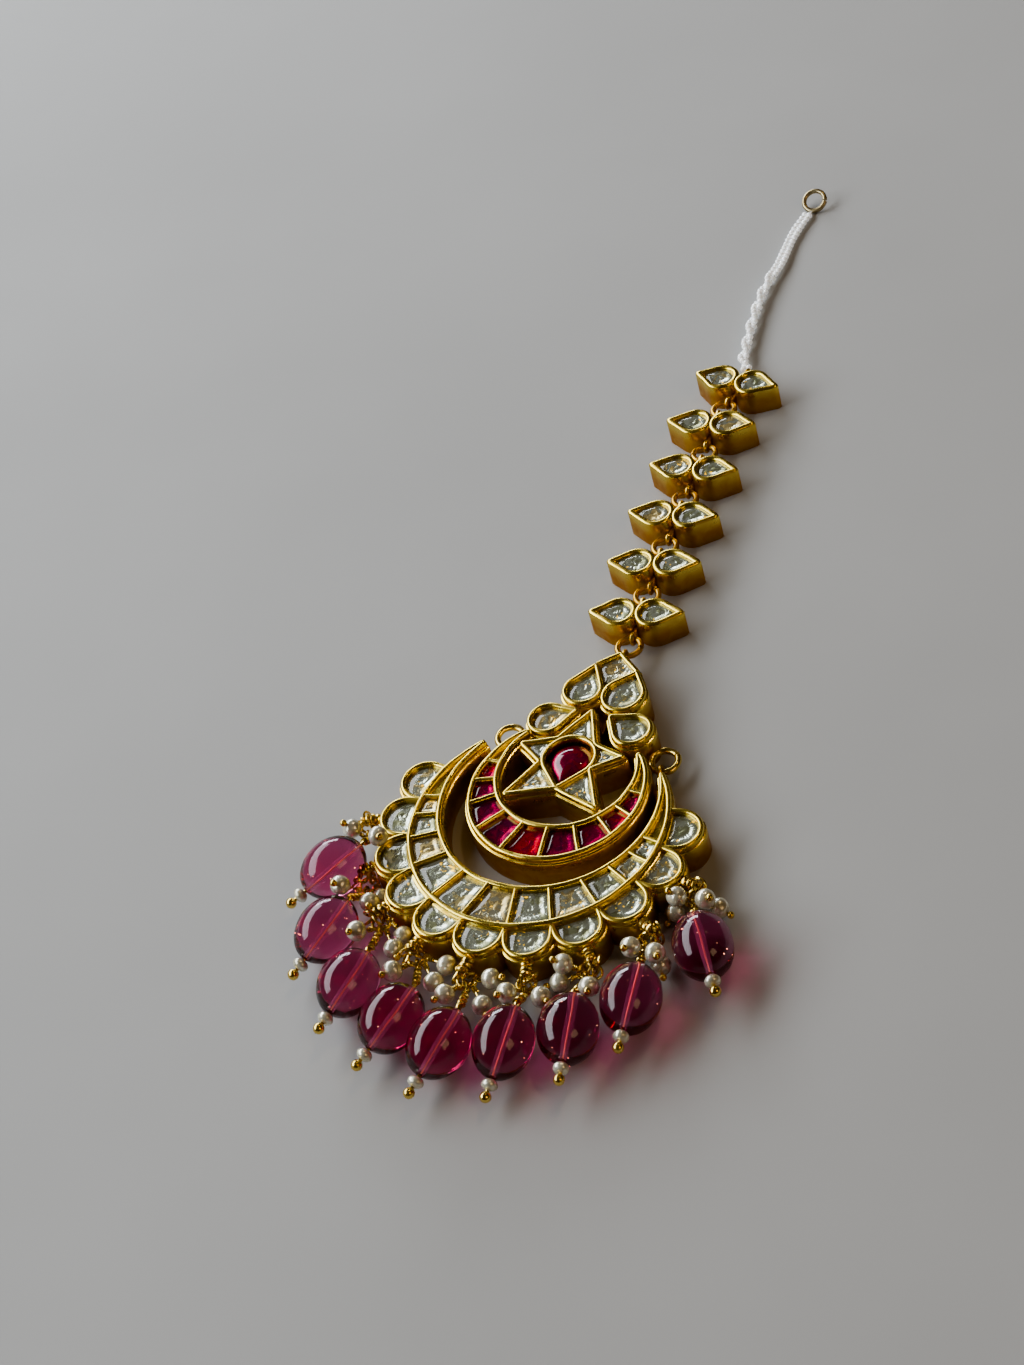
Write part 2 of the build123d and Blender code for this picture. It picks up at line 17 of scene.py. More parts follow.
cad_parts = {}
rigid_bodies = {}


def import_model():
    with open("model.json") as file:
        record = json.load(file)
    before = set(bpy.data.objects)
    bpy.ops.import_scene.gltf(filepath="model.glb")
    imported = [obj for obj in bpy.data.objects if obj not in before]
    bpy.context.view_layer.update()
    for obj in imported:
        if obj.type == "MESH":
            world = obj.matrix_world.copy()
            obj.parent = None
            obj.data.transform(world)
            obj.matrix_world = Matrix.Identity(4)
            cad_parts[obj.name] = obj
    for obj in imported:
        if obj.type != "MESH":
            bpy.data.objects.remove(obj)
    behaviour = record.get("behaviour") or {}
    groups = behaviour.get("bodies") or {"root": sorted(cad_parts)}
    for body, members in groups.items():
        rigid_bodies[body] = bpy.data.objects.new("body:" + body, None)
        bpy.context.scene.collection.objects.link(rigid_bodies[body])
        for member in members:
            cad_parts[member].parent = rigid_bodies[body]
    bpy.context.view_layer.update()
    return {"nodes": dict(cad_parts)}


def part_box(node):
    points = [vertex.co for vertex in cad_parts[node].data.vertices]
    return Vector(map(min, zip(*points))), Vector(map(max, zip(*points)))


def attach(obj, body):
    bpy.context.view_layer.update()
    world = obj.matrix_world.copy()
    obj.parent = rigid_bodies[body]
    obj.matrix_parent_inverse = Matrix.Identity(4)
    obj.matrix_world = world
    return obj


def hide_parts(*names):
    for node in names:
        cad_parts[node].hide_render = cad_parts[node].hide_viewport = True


MM = 0.001
UP = Vector((0, 0, 1))
SMOOTH_UP_TO = math.radians(40)
RANDOM_SEED = 7

# --- walls and rims ---
RIM_HALF_WIDTH = 0.425
RIM_CREST = 0.42  # height of the rounded top of a rim
CREST_STEPS = 6
SHOULDER_DROP = 1.0  # from a rim's top down to the shoulder of its base
SHOULDER_REACH = 0.7  # from a rim's centre line out to its base wall
SHOULDER_ROUND = 0.2
DIVIDER_HALF_WIDTH = 0.36
DIVIDER_DROP = 0.06  # of a divider's top below the rims that it joins
PENDANT_TOP = 5.6
PETAL_TOP = 5.2
LEAF_TOP = 4.7
POCKET_DEPTH = 2.7
LEAF_POCKET = 1.0
LEAF_RIM_HALF_WIDTH = 0.52
LEAF_RIM_SHIFT = 0.1  # of a leaf's rim, inward from its centre line
CHANNEL_DEPTH = 0.75
PLATE_THICKNESS = 0.3
PATH_STEP = 0.28
# how far handwork moves a shape, and over what distance
WALL_WAVES = (0.09, 4.0)
LEAF_WAVES = (0.09, 3.0)
FINE_WAVES = (0.006, 0.7)
RING_WAVES = (0.06, 1.5)
BEAD_WAVES = (0.1, 4.0)
FIRM_BELOW = 2.0  # what is lower than this moves less, and not at all on the floor

# --- crescents and petals ---
# a divider is the turns of its ends on the outer and the inner rim, the same on both sides
Crescent = namedtuple("Crescent", "centre turn radius hole_radius hole_rise horn_y dividers")
OUTER = Crescent(
    (0.0, 0.0), -1.5, radius=18.55, hole_radius=16.1, hole_rise=4.0, horn_y=12.0,
    dividers=[(11, 7.5), (30, 24), (50.5, 40), (66.5, 55), (80, 67.5), (91, 78.5)],
)
INNER = Crescent(
    (0.4, 6.1), -3.3, radius=12.78, hole_radius=10.35, hole_rise=3.35, horn_y=8.9,
    dividers=[(14, 10.5), (39.5, 31.5), (63, 51), (82, 67.5), (100.5, 85)],
)
PETAL_COUNT = 11
PETAL_PITCH = 19.9
PETAL_HALF_WIDTH = 3.3
PETAL_CENTRE_RADIUS = 20.15

# --- star, collet, pears and kite ---
STAR_POINTS = [
    (0.0, 21.2), (-3.0, 15.1), (-8.1, 13.2), (-3.9, 10.3), (-6.8, 3.5),
    (0.2, 6.1), (7.5, 3.7), (3.8, 10.4), (7.9, 13.7), (2.8, 15.1),
]
# round end's centre (x, y), radius, length from it to the point, turn of the point
COLLET = (0.0, 12.0, 3.85, 5.9, 2.0)
FLANK_PEARS = [(-6.2, 18.5, 2.65, 4.5, 122), (7.1, 18.8, 2.75, 4.5, -113)]
TOP_PEARS = [(-3.1, 24.9, 2.75, 5.1, 178), (3.3, 25.0, 3.0, 4.7, 175)]
KITE = [(0.0, 32.8), (-2.9, 30.1), (-0.1, 26.8), (3.7, 29.8)]
NECK = ((0, 19.5), (0, 24.5))
NECK_HALF_WIDTH = 1.5
NECK_HEIGHT = 2.0
SOLDER_PLACES = [(-13.1, 11.2), (13.2, 11.0), (2.4, 21.9), (6.4, 15.1)]
SOLDER = (1.0, 1.1)  # height of a blob's centre, and its radius

# --- rings and eyes: mean radius, half the wire ---
LINK_HEIGHT = 2.35
COIL_POINTS = 14  # a turn
EYE = (0.75, 0.28)
POST_RADIUS = 0.35
RING_GAP = 0.04  # the step between the two ends of a bent ring
SIDE_RING = (1.95, 0.49)
SIDE_RING_LEAN = (3, 40)  # and the turn of the line that it leans about
# foot of the post, the eye's centre, then the turn of the ring that hangs on it
SIDE_EYES = [((-12.9, 11.8), (-12.1, 14.3), 174), ((13.3, 11.6), (12.75, 14.35), -176)]
TOP_EYE = ((-0.2, 32.6), (-0.9, 35.1))

# --- chain ---
CHAIN_RING = (1.8, 0.47)
LEAF_PEAR = (2.75, 0, 2.55, 4.5, 90)
LEAF_EYE_PLACE = 3.65
LEAF_EYE = (0.8, 0.34)
LEAF_EYE_FOOT = 0.9
RING_LEANS = [0.6, 1.4, -1.0, 1.6, 7.0, -8.0]
LEAF_TURNS = [8.8, 8.6, 4.8, 3.0, 4.2, -6.3]

# --- strings of pearls and end ring ---
STRAND_OFFSET = 0.47  # of each string's centre line from the line they twist about
STRAND_TURNS = 3  # of the two strings about each other
STRAND_TWISTED_SHARE = 0.6  # of their length, from the leaf on, holds all those turns
STRAND_ROUTE = [
    (-4.7, 101.9, 1.9), (-6.6, 104.6, 1.4), (-7.4, 108.6, 1.1), (-8.2, 113.0, 1.1),
    (-8.9, 117.6, 1.1), (-9.4, 122.2, 1.1), (-9.5, 126.6, 1.1), (-9.1, 130.8, 0.9),
    (-9.3, 135.0, 0.66), (-9.6, 139.2, 0.63), (-9.3, 143.2, 0.63), (-8.8, 146.7, 0.66),
]
STRING_PEARL_RADIUS = 0.57
STRING_PEARL_PITCH = 1.1
THREAD_RADIUS = 0.16
LEAF_LOOP_REACH = 0.8  # from the last leaf's eye to where the thread is tied
END_RING = (1.9, 0.42)
END_RING_CENTRE = (-8.45, 149.4)
END_RING_TILT = math.radians(30)
END_RING_HEIGHT = END_RING[0] * math.sin(END_RING_TILT) + END_RING[1]

# --- drops ---
DROP_COUNT = 9
DROP_EYE_RADIUS = 25.1
PETAL_WALL_RADIUS = 24.1
DROP_RING = (1.3, 0.25)
DROP_STEM_RADIUS = 0.3  # of the wire from a petal's wall to its eye
DROP_STEM_SEAT = 0.5  # how deep it stands in the wall
DROP_EYE = PIN_LOOP = (0.75, 0.24)
PIN_RADIUS = 0.27
PIN_BALL_RADIUS = 0.8
PIN_HEAD_GAP = 0.5
PIN_COIL = (0.42, 3.5, 0.2)  # radius, turns and half the wire
WOUND_COIL = (0.58, 3.2, 0.35)
WOUND_COIL_REACH = (-0.9, 1.6)  # from above the eye, inward and outward
WOUND_COIL_RISE = 1.3  # above the ring
LOOSE_WIRE = 0.2
LOOSE_SIDES = 7
# along the petal's edge, outward from the eye, up from the ring; then size, lean and turn
LOOSE_LOOPS = [
    (-0.7, 1.0, 0.8, 1.0, 62, 20), (0.8, 1.4, 0.5, 1.05, 70, 75), (0.0, 2.1, 0.3, 0.9, 52, 130),
]
LOOSE_FOOT = (0.3, 1.6)  # sideways from the wound coil, and down from it
LOWEST_TANGLE = 2.2
DROP_TO_DROP_TURN = 37  # between the loose loops of one drop and of the next
BEAD_HALF_LENGTH = 5.15
BEAD_RADIUS = 4.12
BEAD_HOLE_RADIUS = 0.5
BEAD_ARC_STEPS = 36
HOLE_MOUTH = 0.7  # depth of the hole's open mouth; the wire fills the rest of it
SHAFT_RADIUS = 0.09
DUST_RADIUS = 0.42
SHAFT_SHARE = 0.97  # of the hole's length between its mouths
# painted glints: tiny glowing flecks in each bead's glass
PAINTED_GLINT_COUNT = 8
# the least, and how much more
PAINTED_GLINT_DEPTHS = (0.55, 0.3)
PAINTED_GLINT_SIZES = (0.035, 0.06)
PAINTED_GLINT_FLATNESS = 0.7
TIP_PEARL_HALF_LENGTH = 0.85
TIP_PEARL_RADIUS = 1.15
TIP_PEARL_GAP = 0.05
PEARL_RADIUS = 1.45
LONGEST_PEARL = 3.2  # in the CAD; a longer solid of a cluster is a pearl's wire
PEARL_UNEVENNESS = 0.07  # as a share of its radius, as its dimples are of its length
PEARL_DIMPLE = 0.12
DIMPLE_FROM = 0.9
PEARL_STEM_WIRE = 0.14
PEARL_STEM_BALL = 0.52
PEARL_STEM_BACK = 0.5  # from the end of the CAD's wire back to the ball
PEARL_COIL = (0.3, 3, 0.12)
PEARL_COIL_REACH = (0.45, 1.35)  # from the ring along the wire
PEARL_LOOP = (0.5, 0.15)

# --- stones ---
STONE_STEP = 0.3
STONE_RINGS = 9
STONE_TOP_SCALE = 0.07  # size of a stone's last ring, as a share of its outline
# lift is from the CAD stone's top to the dome's edge; growth is how far it runs under the rims
Seat = namedtuple("Seat", "lift rise skirt growth")
CLEAR_SEAT = Seat(-0.15, 0.42, 1.2, 0.22)
KITE_SEAT = CLEAR_SEAT._replace(growth=0.7)
LEAF_SEAT = Seat(0.0, 0.45, 0.8, 0.3)
LEAF_OVAL_ROUNDS = 14
RED_SEAT = Seat(0.3, 0.22, 1.0, 0.42)
CENTRE_SEAT = Seat(0.1, 0.8, 1.0, 0.35)
CENTRE_LOT = 0.5

Drop = namedtuple("Drop", "number eye ring bead axis head")

# --- finishes ---
# the deep colour is taken by worn patches and by the painted shade low on the walls; the last field
# is the height in millimetres under which that shade comes in
Gold = namedtuple("Gold", "name bright deep polish dull_below")
GOLD_WORK = Gold("gold_work", (0.77, 0.60, 0.13, 1), (0.46, 0.20, 0.026, 1), 0.19, 4.1)
GOLD_WIRE = Gold("gold_wire", (0.74, 0.55, 0.16, 1), (0.45, 0.31, 0.08, 1), 0.18, 0.4)
GOLD_DULL = Gold("gold_dull", (0.46, 0.38, 0.22, 1), (0.30, 0.23, 0.11, 1), 0.3, 0.4)

# tint: the foil of some stones; glint and glow: its painted glints, spots of lamp light made to
# glow; cup and rise: how it is domed
Foil = namedtuple("Foil", "name light dark tint glint cup rise crease metal gloss glow")
CLEAR_FOIL = Foil(
    "clear_stone", (0.62, 0.66, 0.54, 1), (0.27, 0.275, 0.16, 1), (0.54, 0.42, 0.19, 1),
    (1.0, 0.56, 0.03, 1), 0.21, 0.34, 1.35, 0.8, 0.18, 1.1,
)
RED_FOIL = Foil(
    "red_stone", (0.30, 0.001, 0.05, 1), (0.09, 0.001, 0.03, 1), (0.34, 0.001, 0.012, 1),
    (0.4, 0.01, 0.05, 1), 0.12, 0.24, 0.5, 0.7, 0.2, 0.0,
)
# painted shade at a stone's edge, under its rim
PAINTED_EDGE_SHADE = (0.02, 0.015, 0.01, 1)

# glow: a painted glow that brightens the pearls all over
Nacre = namedtuple("Nacre", "name light shade metal pits glow")
SEED_PEARL = Nacre("seed_pearl", (0.78, 0.77, 0.64, 1), (0.54, 0.51, 0.37, 1), 0.45, 1.0, 0.0)
STRING_PEARL = Nacre("string_pearl", (1.0, 1.0, 1.0, 1), (0.96, 0.98, 0.99, 1), 0.0, 0.2, 0.24)

# --- room ---
# which way a lamp is from the jewel, how far in metres, its size in metres, watts and colour
LAMPS = [
    ("window", (-0.80, -0.05, 0.56), 0.9, (1.6, 0.45), 14.5, (0.90, 0.95, 1.0)),
    ("far_window", (-0.62, 0.74, 0.28), 1.2, (0.5, 0.28), 5.0, (0.88, 0.93, 1.0)),
    ("room_lamp", (0.75, -0.25, 0.62), 1.3, (0.5, 0.5), 1.8, (1.0, 0.68, 0.38)),
    ("small_lamp", (0.15, 0.45, 0.88), 1.2, (0.015, 0.015), 1.0, (1.0, 0.74, 0.40)),
]
ROOM_COLOUR = (0.66, 0.46, 0.29, 1)
ROOM_STRENGTH = 0.055
FLOOR_HALF_WIDTH = 3.0
CAMERA_LENS = 63.297
CAMERA_PLACE = (0.135497, -0.236339, 0.251271)
CAMERA_TURN = (44.775, 13.157, 23.145)


# --- paths ---


def polar(radius, turn):
    angle = math.radians(turn)
    return flat(radius * math.sin(angle), -radius * math.cos(angle))


def flat(x, y, z=0.0):
    return Vector((x, y, z))


def arc(centre, radius, start, end):
    """Points along an arc between two turns."""
    count = max(2, round(abs(math.radians(end - start)) * radius / PATH_STEP))
    return [centre + polar(radius, start + (end - start) * i / count) for i in range(count + 1)]


def even(points, closed, spacing=PATH_STEP):
    """The same line with its points an even distance apart."""
    line = points + points[:1] if closed else points
    run = [0.0]
    for start, end in zip(line, line[1:]):
        run.append(run[-1] + (end - start).length)
    count = max(2, round(run[-1] / spacing))
    placed = []
    index = 0
    for step in range(count if closed else count + 1):
        mark = run[-1] * step / count
        while index < len(run) - 2 and run[index + 1] < mark:
            index += 1
        share = (mark - run[index]) / (run[index + 1] - run[index])
        placed.append(line[index].lerp(line[index + 1], share))
    return placed


def padded(points, closed):
    """The line with a neighbour before its first point and after its last."""
    before, after = (points[-1], points[0]) if closed else (points[0], points[-1])
    return [before, *points, after]


def softened(points, closed, rounds=1):
    """The line with its corners rounded."""
    for _ in range(rounds):
        line = padded(points, closed)
        points = [(a + 2 * b + c) / 4 for a, b, c in zip(line, line[1:], line[2:])]
    return points


def tangents(path, closed):
    """The unit direction of a line at each of its points."""
    line = padded(path, closed)
    return [(after - before).normalized() for before, after in zip(line, line[2:])]


def turned(points, centre, turn):
    """Points turned about the origin, then moved to a centre."""
    place = Matrix.Translation(centre) @ Matrix.Rotation(math.radians(turn), 4, "Z")
    return [place @ point for point in points]


def crescent_path(crescent):
    """A crescent's centre line: its outer arc from horn to horn, then its inner arc back."""
    rise = crescent.hole_rise
    outer_end = math.degrees(math.acos(-crescent.horn_y / crescent.radius))
    inner_end = math.degrees(math.acos((rise - crescent.horn_y) / crescent.hole_radius))
    line = arc(flat(0, 0), crescent.radius, -outer_end, outer_end)
    line += arc(flat(0, rise), crescent.hole_radius, inner_end, -inner_end)
    return turned(line, flat(*crescent.centre), crescent.turn)


def divider_lines(crescent):
    """The two ends of each divider of a crescent."""
    lines = []
    for outer_turn, inner_turn in crescent.dividers:
        for side in (-1, 1):
            inner = polar(crescent.hole_radius, side * inner_turn) + flat(0, crescent.hole_rise)
            ends = [polar(crescent.radius, side * outer_turn), inner]
            lines.append(turned(ends, flat(*crescent.centre), crescent.turn))
    return lines


def pear_path(x, y, radius, length, turn):
    """A pear's centre line, anticlockwise, with its point in the turn's direction."""
    side = 90 - math.degrees(math.asin(radius / length))
    points = arc(flat(0, 0), radius, side, 360 - side) + [flat(0, -length)]
    return turned(points, flat(x, y), turn)


def petal_turn(number):
    return OUTER.turn + PETAL_PITCH * (number - (PETAL_COUNT - 1) / 2)


def petal_path(number):
    """A petal's centre line, from the crescent's rim out round its tongue and back."""
    centre = flat(0, -PETAL_CENTRE_RADIUS)
    root = OUTER.radius * math.cos(math.asin(PETAL_HALF_WIDTH / OUTER.radius))
    tongue = arc(centre, PETAL_HALF_WIDTH, -90, 90)
    line = [flat(-PETAL_HALF_WIDTH, -root), *tongue, flat(PETAL_HALF_WIDTH, -root)]
    return turned(line, flat(0, 0), petal_turn(number))


def facing(direction):
    """The turn that takes Z to a direction."""
    return direction.to_track_quat("Z", "Y").to_matrix()


def loop_path(centre, radius, across, upward, points=28):
    """A circle of points about a centre, in the plane of two directions."""
    path = []
    for i in range(points):
        angle = 2 * math.pi * i / points
        path.append(centre + across * radius * math.cos(angle) + upward * radius * math.sin(angle))
    return path


# --- shapes ---


def wall_stations(path, closed):
    """Matrices that stand a wall's section on a line, its X outward and its Z up."""
    stations = []
    for point, along in zip(path, tangents(path, closed)):
        outward = flat(along.y, -along.x).normalized()
        station = Matrix((outward, along, UP)).transposed().to_4x4()
        station.translation = point
        stations.append(station)
    return stations


def wire_stations(path, closed):
    """Matrices that set a round section square across a line, without twisting it."""
    stations = []
    before = UP
    turn = Matrix.Identity(3).to_quaternion()
    for point, along in zip(path, tangents(path, closed)):
        turn = before.rotation_difference(along) @ turn
        before = along
        stations.append(Matrix.Translation(point) @ turn.to_matrix().to_4x4())
    return stations


def cap(bm, ring):
    """Closes the end of a sweep with one face."""
    edges = {edge for vert in ring for edge in vert.link_edges}
    rim = [edge for edge in edges if edge.is_boundary or edge.is_wire]
    return bmesh.ops.contextual_create(bm, geom=rim)["faces"]


def sweep(bm, section, stations, closed):
    """Carries a closed section through stations. Gives back the vertices at each of them."""
    verts = [bm.verts.new(stations[0] @ point) for point in section]
    edges = [bm.edges.new(pair) for pair in zip(verts, verts[1:] + verts[:1])]
    rings = [verts]
    first = edges
    for before, after in zip(stations, stations[1:]):
        made = bmesh.ops.extrude_edge_only(bm, edges=edges)["geom"]
        verts = [item for item in made if isinstance(item, bmesh.types.BMVert)]
        moved = set(verts)
        edges = [
            item for item in made
            if isinstance(item, bmesh.types.BMEdge) and moved.issuperset(item.verts)
        ]
        bmesh.ops.transform(bm, matrix=after @ before.inverted(), verts=verts)
        rings.append(verts)
    if closed:
        bmesh.ops.bridge_loops(bm, edges=first + edges)
    return rings


def mesh_of(name, shape):
    """The mesh that a finished shape makes."""
    mesh = bpy.data.meshes.new(name)
    shape.to_mesh(mesh)
    shape.free()
    return mesh


def move(shape, place):
    bmesh.ops.transform(shape, matrix=place, verts=shape.verts)


def join(piece, shape):
    """Adds a finished shape to a piece."""
    bmesh.ops.recalc_face_normals(shape, faces=shape.faces)
    mesh = mesh_of("shape", shape)
    piece.from_mesh(mesh)
    bpy.data.meshes.remove(mesh)


def add_sweep(piece, section, stations, closed):
    shape = bmesh.new()
    rings = sweep(shape, section, stations, closed)
    if not closed:
        cap(shape, rings[0])
        cap(shape, rings[-1])
    join(piece, shape)


def add_wire(piece, path, radius, closed=False, sides=8):
    section = loop_path(flat(0, 0), radius, flat(1, 0), flat(0, 1), sides)
    add_sweep(piece, section, wire_stations(path, closed), closed)


def add_rod(piece, start, end, radius, step=0.4, sides=8):
    """A straight piece of wire."""
    add_wire(piece, even([start, end], False, step), radius, sides=sides)


def add_loop(piece, centre, size, across, upward=UP, points=28, sides=8):
    """A closed loop of a given radius and half wire, in the plane of two directions."""
    radius, wire = size
    add_wire(piece, loop_path(centre, radius, across, upward, points), wire, True, sides)


def add_coil(piece, start, end, size, sides=8):
    """A coil of a given radius, turns and half wire, from one point to another."""
    radius, turns, wire = size
    along = end - start
    count = int(turns * COIL_POINTS)
    path = []
    for i in range(count + 1):
        angle = 2 * math.pi * turns * i / count
        around = flat(radius * math.cos(angle), radius * math.sin(angle))
        path.append(start + along * i / count + facing(along) @ around)
    add_wire(piece, path, wire, sides=sides)


def add_ball(piece, centre, radius, stretch=(1, 1, 1), segments=20):
    """A ball of metal, a little out of round."""
    shape = bmesh.new()
    place = Matrix.Translation(centre) @ Matrix.Diagonal((*stretch, 1))
    bmesh.ops.create_uvsphere(
        shape, u_segments=segments, v_segments=segments // 2, radius=radius, matrix=place
    )
    roughen(shape, radius * 0.05, radius * 1.5)
    join(piece, shape)


def crest(half_width, top, height):
    """The rounded top of a rim's section, from its outer side to its inner side."""
    points = []
    for i in range(CREST_STEPS + 1):
        angle = math.pi * i / CREST_STEPS
        lift = height * math.sin(angle)
        points.append(flat(half_width * math.cos(angle), 0, top - height + lift))
    return points


def walled(rim, foot):
    """A rim's section with straight sides down to its foot."""
    return [flat(rim[0].x, 0, foot), *rim, flat(rim[-1].x, 0, foot)]


def rim_section(top):
    """The section of an outer wall: base wall, shoulder, rim and inner wall."""
    shoulder = top - SHOULDER_DROP
    reach = SHOULDER_REACH
    outside = [
        flat(reach, 0, 0.0),
        flat(reach, 0, shoulder - SHOULDER_ROUND),
        flat(reach - SHOULDER_ROUND * 0.3, 0, shoulder - SHOULDER_ROUND * 0.3),
        flat(reach - SHOULDER_ROUND, 0, shoulder),
        flat(RIM_HALF_WIDTH, 0, shoulder + 0.02),
    ]
    return outside + crest(RIM_HALF_WIDTH, top, RIM_CREST) + [flat(-RIM_HALF_WIDTH, 0, 0.0)]


def leaf_section(top):
    """The section of a leaf's plain wall."""
    rim = [point - flat(LEAF_RIM_SHIFT, 0) for point in crest(LEAF_RIM_HALF_WIDTH, top, RIM_CREST)]
    return walled(rim, 0.0)


def divider_section(top):
    rim = crest(DIVIDER_HALF_WIDTH, top - DIVIDER_DROP, RIM_CREST)
    return walled(rim, top - POCKET_DEPTH)


def roughen(bm, amount, grain):
    """Moves a shape's vertices a little, as handwork does. What stands on the floor stays on it."""
    for vert in bm.verts:
        firm = min(1.0, max(0.0, vert.co.z / FIRM_BELOW))
        vert.co += noise.noise_vector(vert.co / grain) * amount * firm


def add_wall(piece, path, top, closed=True, section=rim_section):
    line = softened(even(path, closed), closed)
    add_sweep(piece, section(top), wall_stations(line, closed), closed)


def add_plate(piece, outline, height, cut=None):
    """A flat plate of an outline's shape, cut back to the far side of a given plane."""
    shape = bmesh.new()
    verts = [shape.verts.new(flat(p.x, p.y, height - PLATE_THICKNESS)) for p in outline]
    face = shape.faces.new(verts)
    made = bmesh.ops.extrude_face_region(shape, geom=[face])["geom"]
    lifted = [item for item in made if isinstance(item, bmesh.types.BMVert)]
    bmesh.ops.translate(shape, vec=UP * PLATE_THICKNESS, verts=lifted)
    if cut:
        place, normal = cut
        geom = shape.verts[:] + shape.edges[:] + shape.faces[:]
        bmesh.ops.bisect_plane(shape, geom=geom, plane_co=place, plane_no=normal, clear_inner=True)
    join(piece, shape)


def add_eye(piece, foot, eye, turn, size):
    """A wire eye on edge, on its post."""
    centre = flat(*eye, LINK_HEIGHT)
    outward = polar(1, turn)
    add_loop(piece, centre, size, outward)
    rim = centre - outward * size[0]
    add_rod(piece, flat(*foot, LINK_HEIGHT), rim, POST_RADIUS, step=0.5)
    add_ball(piece, rim, size[1] * 1.6, (1, 1, 0.9), 12)


def add_jump_ring(piece, centre, size, lean=0.0, lean_turn=0.0, sides=10):
    """A ring of bent wire whose two ends meet at a fine seam."""
    radius, wire = size
    plane = Matrix.Rotation(math.radians(lean_turn), 3, "Z")
    plane = plane @ Matrix.Rotation(math.radians(lean), 3, "X")
    across, upward = plane @ flat(1, 0), plane @ flat(0, 1)
    path = loop_path(centre, radius, across, upward, 40)
    add_wire(piece, path[1:] + [path[0] + across * RING_GAP], wire, sides=sides)


# --- what the frame says ---


def cad_shape(frame, node):
    """A merged copy of a CAD node, in the jewel's millimetres."""
    shape = bmesh.new()
    shape.from_mesh(frame["nodes"][node].data)
    move(shape, TO_JEWEL)
    bmesh.ops.remove_doubles(shape, verts=shape.verts, dist=0.002)
    return shape


def islands(shape):
    """The separate solids of a shape, each as a list of its vertices."""
    left = set(shape.verts)
    found = []
    while left:
        reached, fresh = set(), {next(iter(left))}
        while fresh:
            reached |= fresh
            fresh = {edge.other_vert(vert) for vert in fresh for edge in vert.link_edges}
            fresh -= reached
        left -= reached
        found.append(sorted(reached, key=lambda v: v.index))
    return sorted(found, key=lambda verts: verts[0].index)


def long_axis(points):
    """The middle of a cloud of points and the direction in which it is longest."""
    cloud = np.array(points)
    middle = (cloud.min(0) + cloud.max(0)) / 2
    direction = np.linalg.svd(cloud - cloud.mean(0))[2][0]
    return Vector(middle), Vector(direction)


def stone_outlines(frame, node):
    """The plan of each stone of a CAD node, anticlockwise, at the height of its top."""
    shape = cad_shape(frame, node)
    lower = [face for face in shape.faces if face.normal.z < 0.9]
    bmesh.ops.delete(shape, geom=lower, context="FACES")
    bmesh.ops.dissolve_faces(shape, faces=shape.faces[:], use_verts=False)
    outlines = [[vert.co.copy() for vert in face.verts] for face in shape.faces]
    shape.free()
    return outlines


def drop_facts(number):
    """Where a drop's eye, ring and bead are."""
    node = f"drop_ring_{number}"
    low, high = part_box(node)
    ring = TO_JEWEL @ ((low + high) / 2)
    eye = polar(DROP_EYE_RADIUS, petal_turn(number))
    eye.z = ring.z
    mesh = bpy.data.objects[f"drop_bead_{number}"].data
    bead, axis = long_axis([TO_JEWEL @ vert.co for vert in mesh.vertices])
    if axis.dot(bead - ring) < 0:
        axis = -axis
    head = bead - axis * (BEAD_HALF_LENGTH + PIN_HEAD_GAP)
    return Drop(number, eye, ring, bead, axis, head)


# --- pieces ---


def put(name, data):
    """Sets a mesh, a lamp or a camera in the scene, as an object."""
    body = bpy.data.objects.new(name, data)
    bpy.context.scene.collection.objects.link(body)
    return body


def make_piece(name, bm, finish, replaced=()):
    """Puts a piece into the frame with its finish, and hides the CAD nodes that it stands for."""
    move(bm, TO_FRAME)
    mesh = mesh_of(name, bm)
    mesh.materials.append(finish)
    mesh.shade_smooth()
    mesh.set_sharp_from_angle(angle=SMOOTH_UP_TO)
    piece = put(name, mesh)
    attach(piece, "root")
    if replaced:
        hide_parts(*replaced)


def add_horns(piece, outline, lines):
    """The foil in a crescent's two horns, from its last dividers to its tips."""
    for outer_end, inner_end in lines[-2:]:
        along = outer_end - inner_end
        beyond = flat(-along.y, along.x)
        if beyond.y < 0:
            beyond = -beyond
        add_plate(piece, outline, PENDANT_TOP - CHANNEL_DEPTH, (outer_end, beyond))


def pendant_setting(finish):
    """All the goldwork of the pendant: walls, rims, dividers, foil, solder and eyes."""
    piece = bmesh.new()
    crescents = [crescent_path(crescent) for crescent in (OUTER, INNER)]
    dividers = [divider_lines(crescent) for crescent in (OUTER, INNER)]
    collet = pear_path(*COLLET)
    pears = [pear_path(*size) for size in FLANK_PEARS + TOP_PEARS]
    star = [flat(*point) for point in STAR_POINTS]
    kite = [flat(*point) for point in KITE]
    for path in [*crescents, star, collet, *pears]:
        add_wall(piece, path, PENDANT_TOP)
    add_wall(piece, [kite[3], kite[0], kite[1]], PENDANT_TOP, closed=False)
    for number in range(PETAL_COUNT):
        add_wall(piece, petal_path(number), PETAL_TOP, closed=False)
    for line in dividers[0] + dividers[1]:
        add_wall(piece, line, PENDANT_TOP, closed=False, section=divider_section)
    for outline, lines in zip(crescents, dividers):
        add_horns(piece, outline, lines)
    for outline in (crescents[1], collet):
        add_plate(piece, outline, PENDANT_TOP - POCKET_DEPTH)
    solder_height, solder_radius = SOLDER
    for place in SOLDER_PLACES:
        add_ball(piece, flat(*place, solder_height), solder_radius)
    corners = ((1, 0), (1, 1), (-1, 1), (-1, 0))
    neck = [flat(x * NECK_HALF_WIDTH, 0, z * NECK_HEIGHT) for x, z in corners]
    add_sweep(piece, neck, wall_stations([flat(*end) for end in NECK], False), False)
    roughen(piece, *WALL_WAVES)
    roughen(piece, *FINE_WAVES)
    for foot, eye, _ in SIDE_EYES:
        turn = math.degrees(math.atan2(eye[0] - foot[0], foot[1] - eye[1]))
        add_eye(piece, foot, eye, turn, EYE)
    add_eye(piece, *TOP_EYE, 180 + RING_LEANS[0], EYE)
    make_piece("pendant_setting", piece, finish, ["pendant_frame"])


